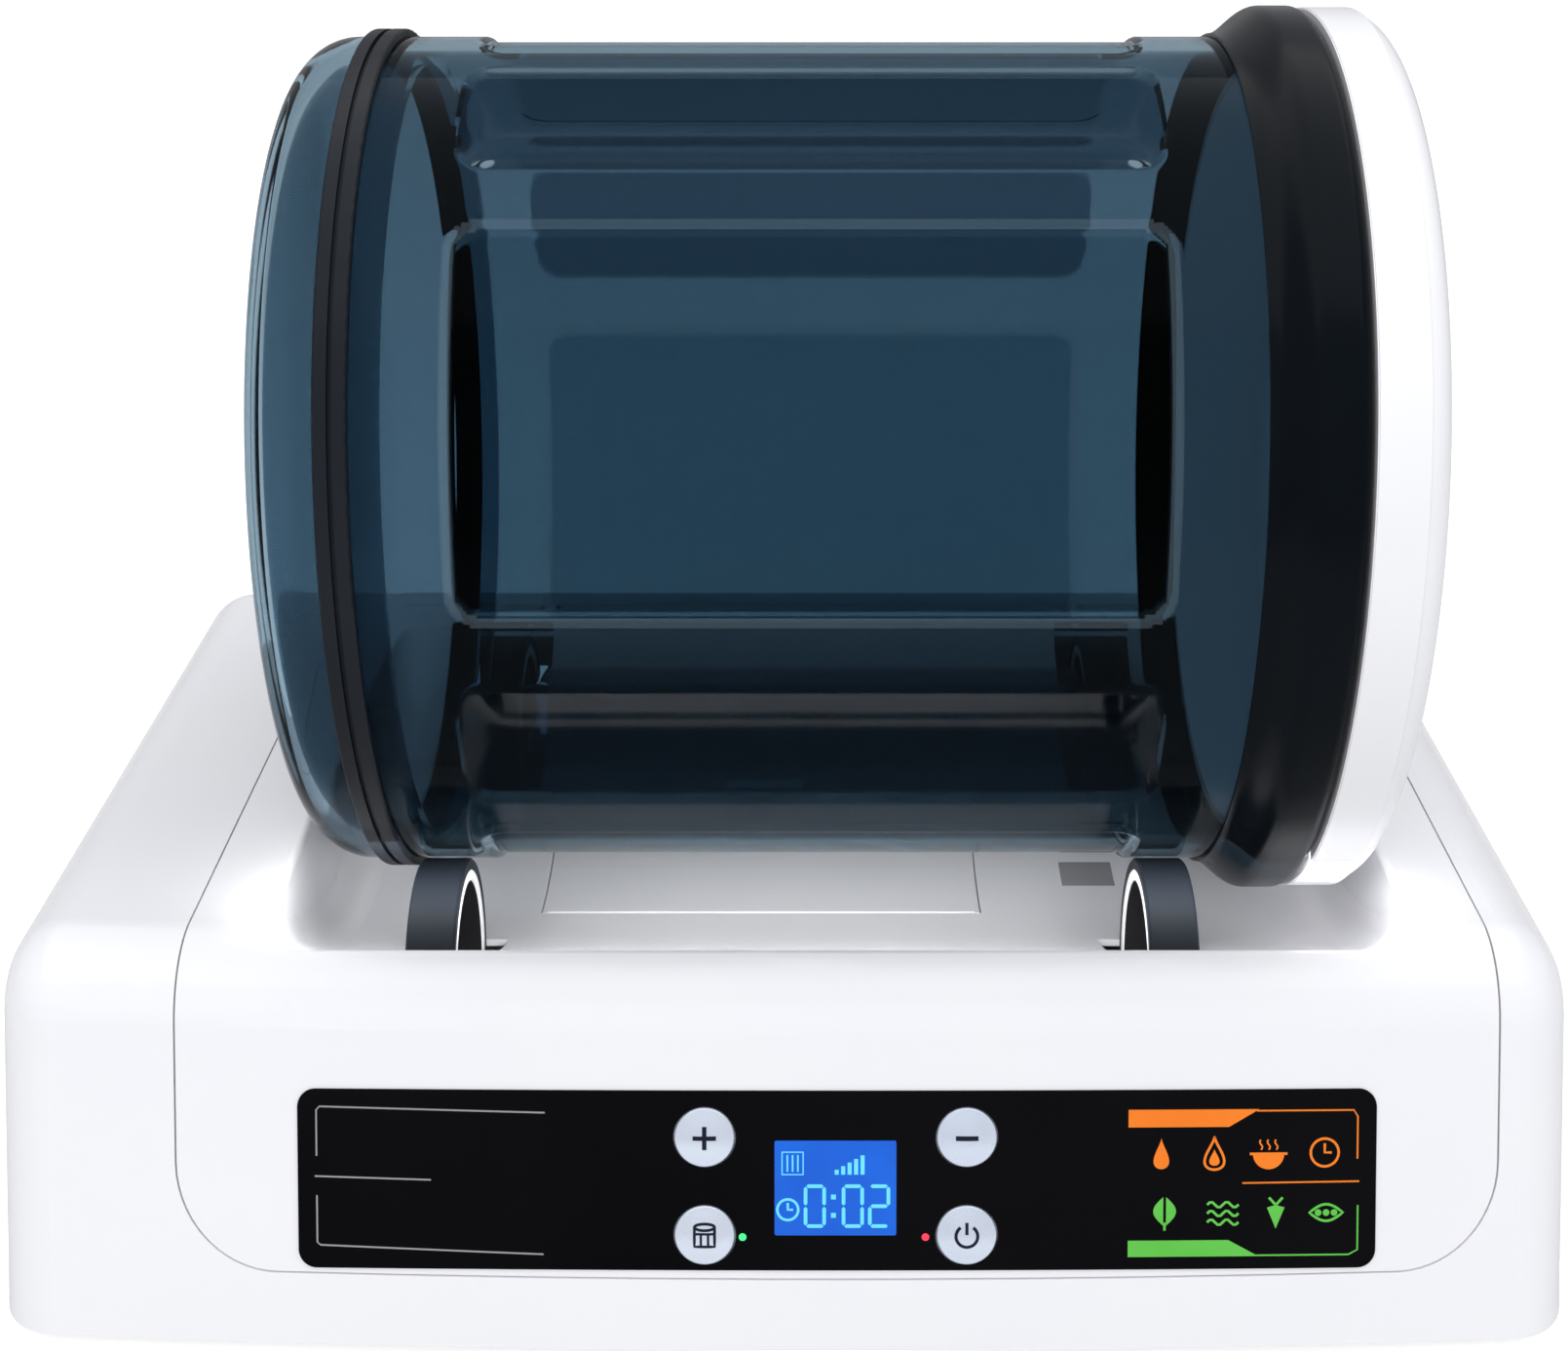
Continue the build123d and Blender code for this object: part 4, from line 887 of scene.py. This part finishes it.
def digit(middle, segments):
    """One digit from straight bars with pointed ends."""
    half = digit_height / 2
    side = digit_width / 2
    places = {
        "top": ((-side, half), (side, half)), "mid": ((-side, 0.0), (side, 0.0)),
        "low": ((-side, -half), (side, -half)), "left_high": ((-side, 0.0), (-side, half)),
        "right_high": ((side, 0.0), (side, half)), "left_low": ((-side, -half), (-side, 0.0)),
        "right_low": ((side, -half), (side, 0.0)),
    }
    marks = []
    for segment in segments:
        start, end = (Vector(place) for place in places[segment])
        along = (end - start).normalized()
        aside = Vector((-along.y, along.x)) * bar_width / 2
        first = start + along * bar_gap
        last = end - along * bar_gap
        near = first + along * bar_width / 2
        far = last - along * bar_width / 2
        shape = [first, near + aside, far + aside, last, far - aside, near - aside]
        marks.append(area(moved([tuple(point) for point in shape], middle)))
    return marks


def make_display_print():
    """The lit signs and digits of the display."""
    ring = ["top", "low", "left_high", "right_high", "left_low", "right_low"]
    two = ["top", "right_high", "mid", "left_low", "low"]
    marks = []
    for across, segments in ((-5.5, ring), (3.9, ring), (10.4, two)):
        marks += digit((across, digit_row), segments)
    for up in (-4.0, -8.6):
        marks.append(area(moved([(-0.6, -0.6), (0.6, -0.6), (0.6, 0.6), (-0.6, 0.6)], (-0.9, up))))
    drum = [(-13.6, 1.6), (-8.4, 1.6), (-8.4, 7.2), (-13.6, 7.2)]
    marks.append(stroke(drum, closed=True))
    for across in (-12.3, -11.0, -9.7):
        marks.append(stroke([(across, 2.3), (across, 6.5)]))
    for number in range(5):
        across = -0.6 + 1.6 * number
        marks.append(area([(across, 1.6), (across + 1.0, 1.6), (across + 1.0, 2.8 + 0.9 * number),
                           (across, 2.8 + 0.9 * number)]))
    marks += clock_sign((-12.2, -7.2), display_clock)
    piece = printed("display_signs", marks, display_cyan)


def dome_height(across, up):
    """The height of a button's top above the panel's face at a distance from its middle."""
    away = min(hypot(across, up) / button_radius, 1.0)
    return button_proud - panel_proud - button_crown * away * away


def button_outline():
    """A button's outline as radius and height off the panel, from its top's middle to its stem's."""
    outline = []
    for step in range(crown_steps + 1):
        radius = (button_radius - button_edge) * step / crown_steps
        outline.append((radius, dome_height(radius, 0.0)))
    rim = dome_height(button_radius - button_edge, 0.0) - button_edge
    for step in range(1, crown_steps + 1):
        angle = pi / 2 * (1 - step / crown_steps)
        outline.append((button_radius - button_edge + button_edge * cos(angle),
                        rim + button_edge * sin(angle)))
    inner = button_flange_thick - button_depth - panel_proud
    under = -button_depth - panel_proud
    foot = -button_stem_depth - panel_proud
    return outline + [(button_radius, inner), (button_radius + button_flange, inner),
                      (button_radius + button_flange, under), (button_stem_radius, under),
                      (button_stem_radius, foot), (0.0, foot)]


def make_button(name, body, middle):
    """One domed push button with its flange and stem, square to the panel."""
    steps = button_steps
    bow = middle[0] * middle[0] / (2 * bow_radius) * cos(radians(front_lean))
    points = []
    faces = []
    rows = []
    for radius, lift in button_outline():
        start = len(points)
        count = steps if radius else 1
        rows.append((start, count))
        for step in range(count):
            angle = 2 * pi * step / steps
            across = middle[0] + radius * cos(angle)
            up = middle[1] + radius * sin(angle)
            straight = across * across / (2 * bow_radius) * cos(radians(front_lean)) - bow
            points.append(panel_point(across, up, lift + straight))
    for (start, count), (after, next_count) in zip(rows, rows[1:]):
        for step in range(steps):
            beside = (step + 1) % steps
            if count == 1:
                faces.append((start, after + step, after + beside))
            elif next_count == 1:
                faces.append((start + step, start + beside, after))
            else:
                faces.append((start + step, start + beside, after + beside, after + step))
    button = piece_from("button_" + name + "_dome", points, faces, [button_metal], body)
    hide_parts("button_" + name)


# Signs on the buttons, as lines about the button's middle, each with its width and whether it is closed
drum_top = [(2.5 * cos(radians(15 * step)), 2.3 + 0.8 * sin(radians(15 * step))) for step in range(24)]
button_signs = {
    "plus": [([(-plus_reach, 0.0), (plus_reach, 0.0)], plus_width),
             ([(0.0, -plus_reach), (0.0, plus_reach)], plus_width)],
    "minus": [([(-minus_reach, 0.0), (minus_reach, 0.0)], minus_width)],
    "vacuum": [(drum_top, rim_width, True),
               ([(-2.5, 2.2), (-2.5, -2.6), (2.5, -2.6), (2.5, 2.2)], rim_width),
               ([(-2.5, 0.6), (2.5, 0.6)], stave_width),
               ([(-0.9, 0.6), (-0.9, -2.6)], stave_width),
               ([(0.9, 0.6), (0.9, -2.6)], stave_width)],
    "power": [(arc((0.0, 0.0), power_radius, 125, 415), power_width),
              ([(0.0, 0.4), (0.0, 3.4)], power_width)],
}


def make_buttons():
    """The four buttons with their signs: more, less, vacuum and power."""
    places = {
        "plus": ("plus_button", (button_left, button_high)),
        "minus": ("minus_button", (button_right, button_high)),
        "vacuum": ("vacuum_button", (button_left, button_low)),
        "power": ("power_button", (button_right, button_low)),
    }
    for name, (body, middle) in places.items():
        make_button(name, body, middle)

        def height(across, up):
            """The button's own face."""
            return dome_height(across - middle[0], up - middle[1])

        def mark(points, width, closed=False):
            """A line on the button."""
            return stroke(divided(moved(points, middle), closed, dome_step), width, closed, height)

        marks = [mark(*line) for line in button_signs[name]]
        printed("button_" + name + "_sign", marks, navy_print, body)


def make_floor():
    """A white floor that looks evenly white and still takes a soft shadow."""
    bpy.ops.mesh.primitive_plane_add(size=floor_size)
    floor = bpy.context.object
    floor.name = "floor"
    material, tree, shader = new_material("floor_white")
    shader.inputs["Base Color"].default_value = (floor_tone, floor_tone, floor_tone, 1.0)
    shader.inputs["Roughness"].default_value = floor_roughness
    shader.inputs["Specular IOR Level"].default_value = 0.0
    shader.inputs["Emission Color"].default_value = (1.0, 1.0, 1.0, 1.0)
    bright = tree.nodes.new("ShaderNodeMath")
    bright.operation = "MULTIPLY"
    bright.inputs[1].default_value = floor_glow
    tree.links.new(seen_rays(tree), bright.inputs[0])
    tree.links.new(bright.outputs[0], shader.inputs["Emission Strength"])
    floor.data.materials.append(material)


def seen_rays(tree):
    """One for what the camera sees, straight or through clear parts, zero for light and reflections."""
    path = tree.nodes.new("ShaderNodeLightPath")
    some = tree.nodes.new("ShaderNodeMath")
    some.operation = "MAXIMUM"
    tree.links.new(path.outputs["Is Camera Ray"], some.inputs[0])
    tree.links.new(path.outputs["Is Transmission Ray"], some.inputs[1])
    return some.outputs[0]


def make_world():
    """White to the camera and through clear parts, and dimmer as light and in reflections."""
    world = bpy.data.worlds.new("studio")
    bpy.context.scene.world = world
    world.use_nodes = True
    tree = world.node_tree
    tree.nodes.clear()
    output = tree.nodes.new("ShaderNodeOutputWorld")
    dim = tree.nodes.new("ShaderNodeBackground")
    dim.inputs["Color"].default_value = world_tint
    dim.inputs["Strength"].default_value = world_light
    white = tree.nodes.new("ShaderNodeBackground")
    white.inputs["Color"].default_value = (1.0, 1.0, 1.0, 1.0)
    white.inputs["Strength"].default_value = world_seen
    choose = tree.nodes.new("ShaderNodeMixShader")
    tree.links.new(seen_rays(tree), choose.inputs["Fac"])
    tree.links.new(dim.outputs[0], choose.inputs[1])
    tree.links.new(white.outputs[0], choose.inputs[2])
    tree.links.new(choose.outputs[0], output.inputs["Surface"])


# Lamps: name, place, what it points at, size, power and whether reflections show it
lamps = [
    ("overhead", (0.0, 0.15, 1.35), (0.0, 0.15, 0.0), (2.4, 2.1), 16.5, True),
    ("front_fill", (-0.3, -1.7, 1.2), (0.0, 0.0, 0.1), (1.6, 1.0), 17.5, False),
    ("right_fill", (1.7, -0.8, 0.9), (0.0, 0.0, 0.12), (1.0, 1.0), 4.0, False),
    ("cradle_light", (0.014, -0.087, 0.108), (0.014, -0.03, 0.05), (0.28, 0.02), 0.19, False),
]


def make_lamps():
    """A large soft box overhead, soft fills and a small light under the drum."""
    for name, place, aim, size, power, seen in lamps:
        lamp = bpy.data.lights.new(name, "AREA")
        lamp.shape = "RECTANGLE"
        lamp.size = size[0]
        lamp.size_y = size[1]
        lamp.energy = power
        holder = bpy.data.objects.new(name, lamp)
        bpy.context.scene.collection.objects.link(holder)
        holder.location = place
        way = Vector(aim) - holder.location
        holder.rotation_euler = way.to_track_quat("-Z", "Y").to_euler()
        holder.visible_glossy = seen
        holder.visible_transmission = False
        holder.visible_camera = False


def make_camera():
    """The photograph's camera."""
    camera = bpy.data.cameras.new("camera")
    camera.sensor_width = camera_sensor
    camera.lens = camera_lens
    camera.shift_x = camera_shift
    holder = bpy.data.objects.new("camera", camera)
    bpy.context.scene.collection.objects.link(holder)
    holder.location = Vector(camera_place) * mm
    holder.rotation_euler = (radians(90.0 - camera_pitch), 0.0, 0.0)
    bpy.context.scene.camera = holder
    bpy.context.scene.view_settings.view_transform = "Standard"


dress_nodes()
make_camera()
make_cords()
make_barrel()
make_cap()
make_collar()
make_lid_band()
make_hatch_bead()
make_wheels()
make_panel_print()
make_display_print()
make_buttons()
make_floor()
make_world()
make_lamps()
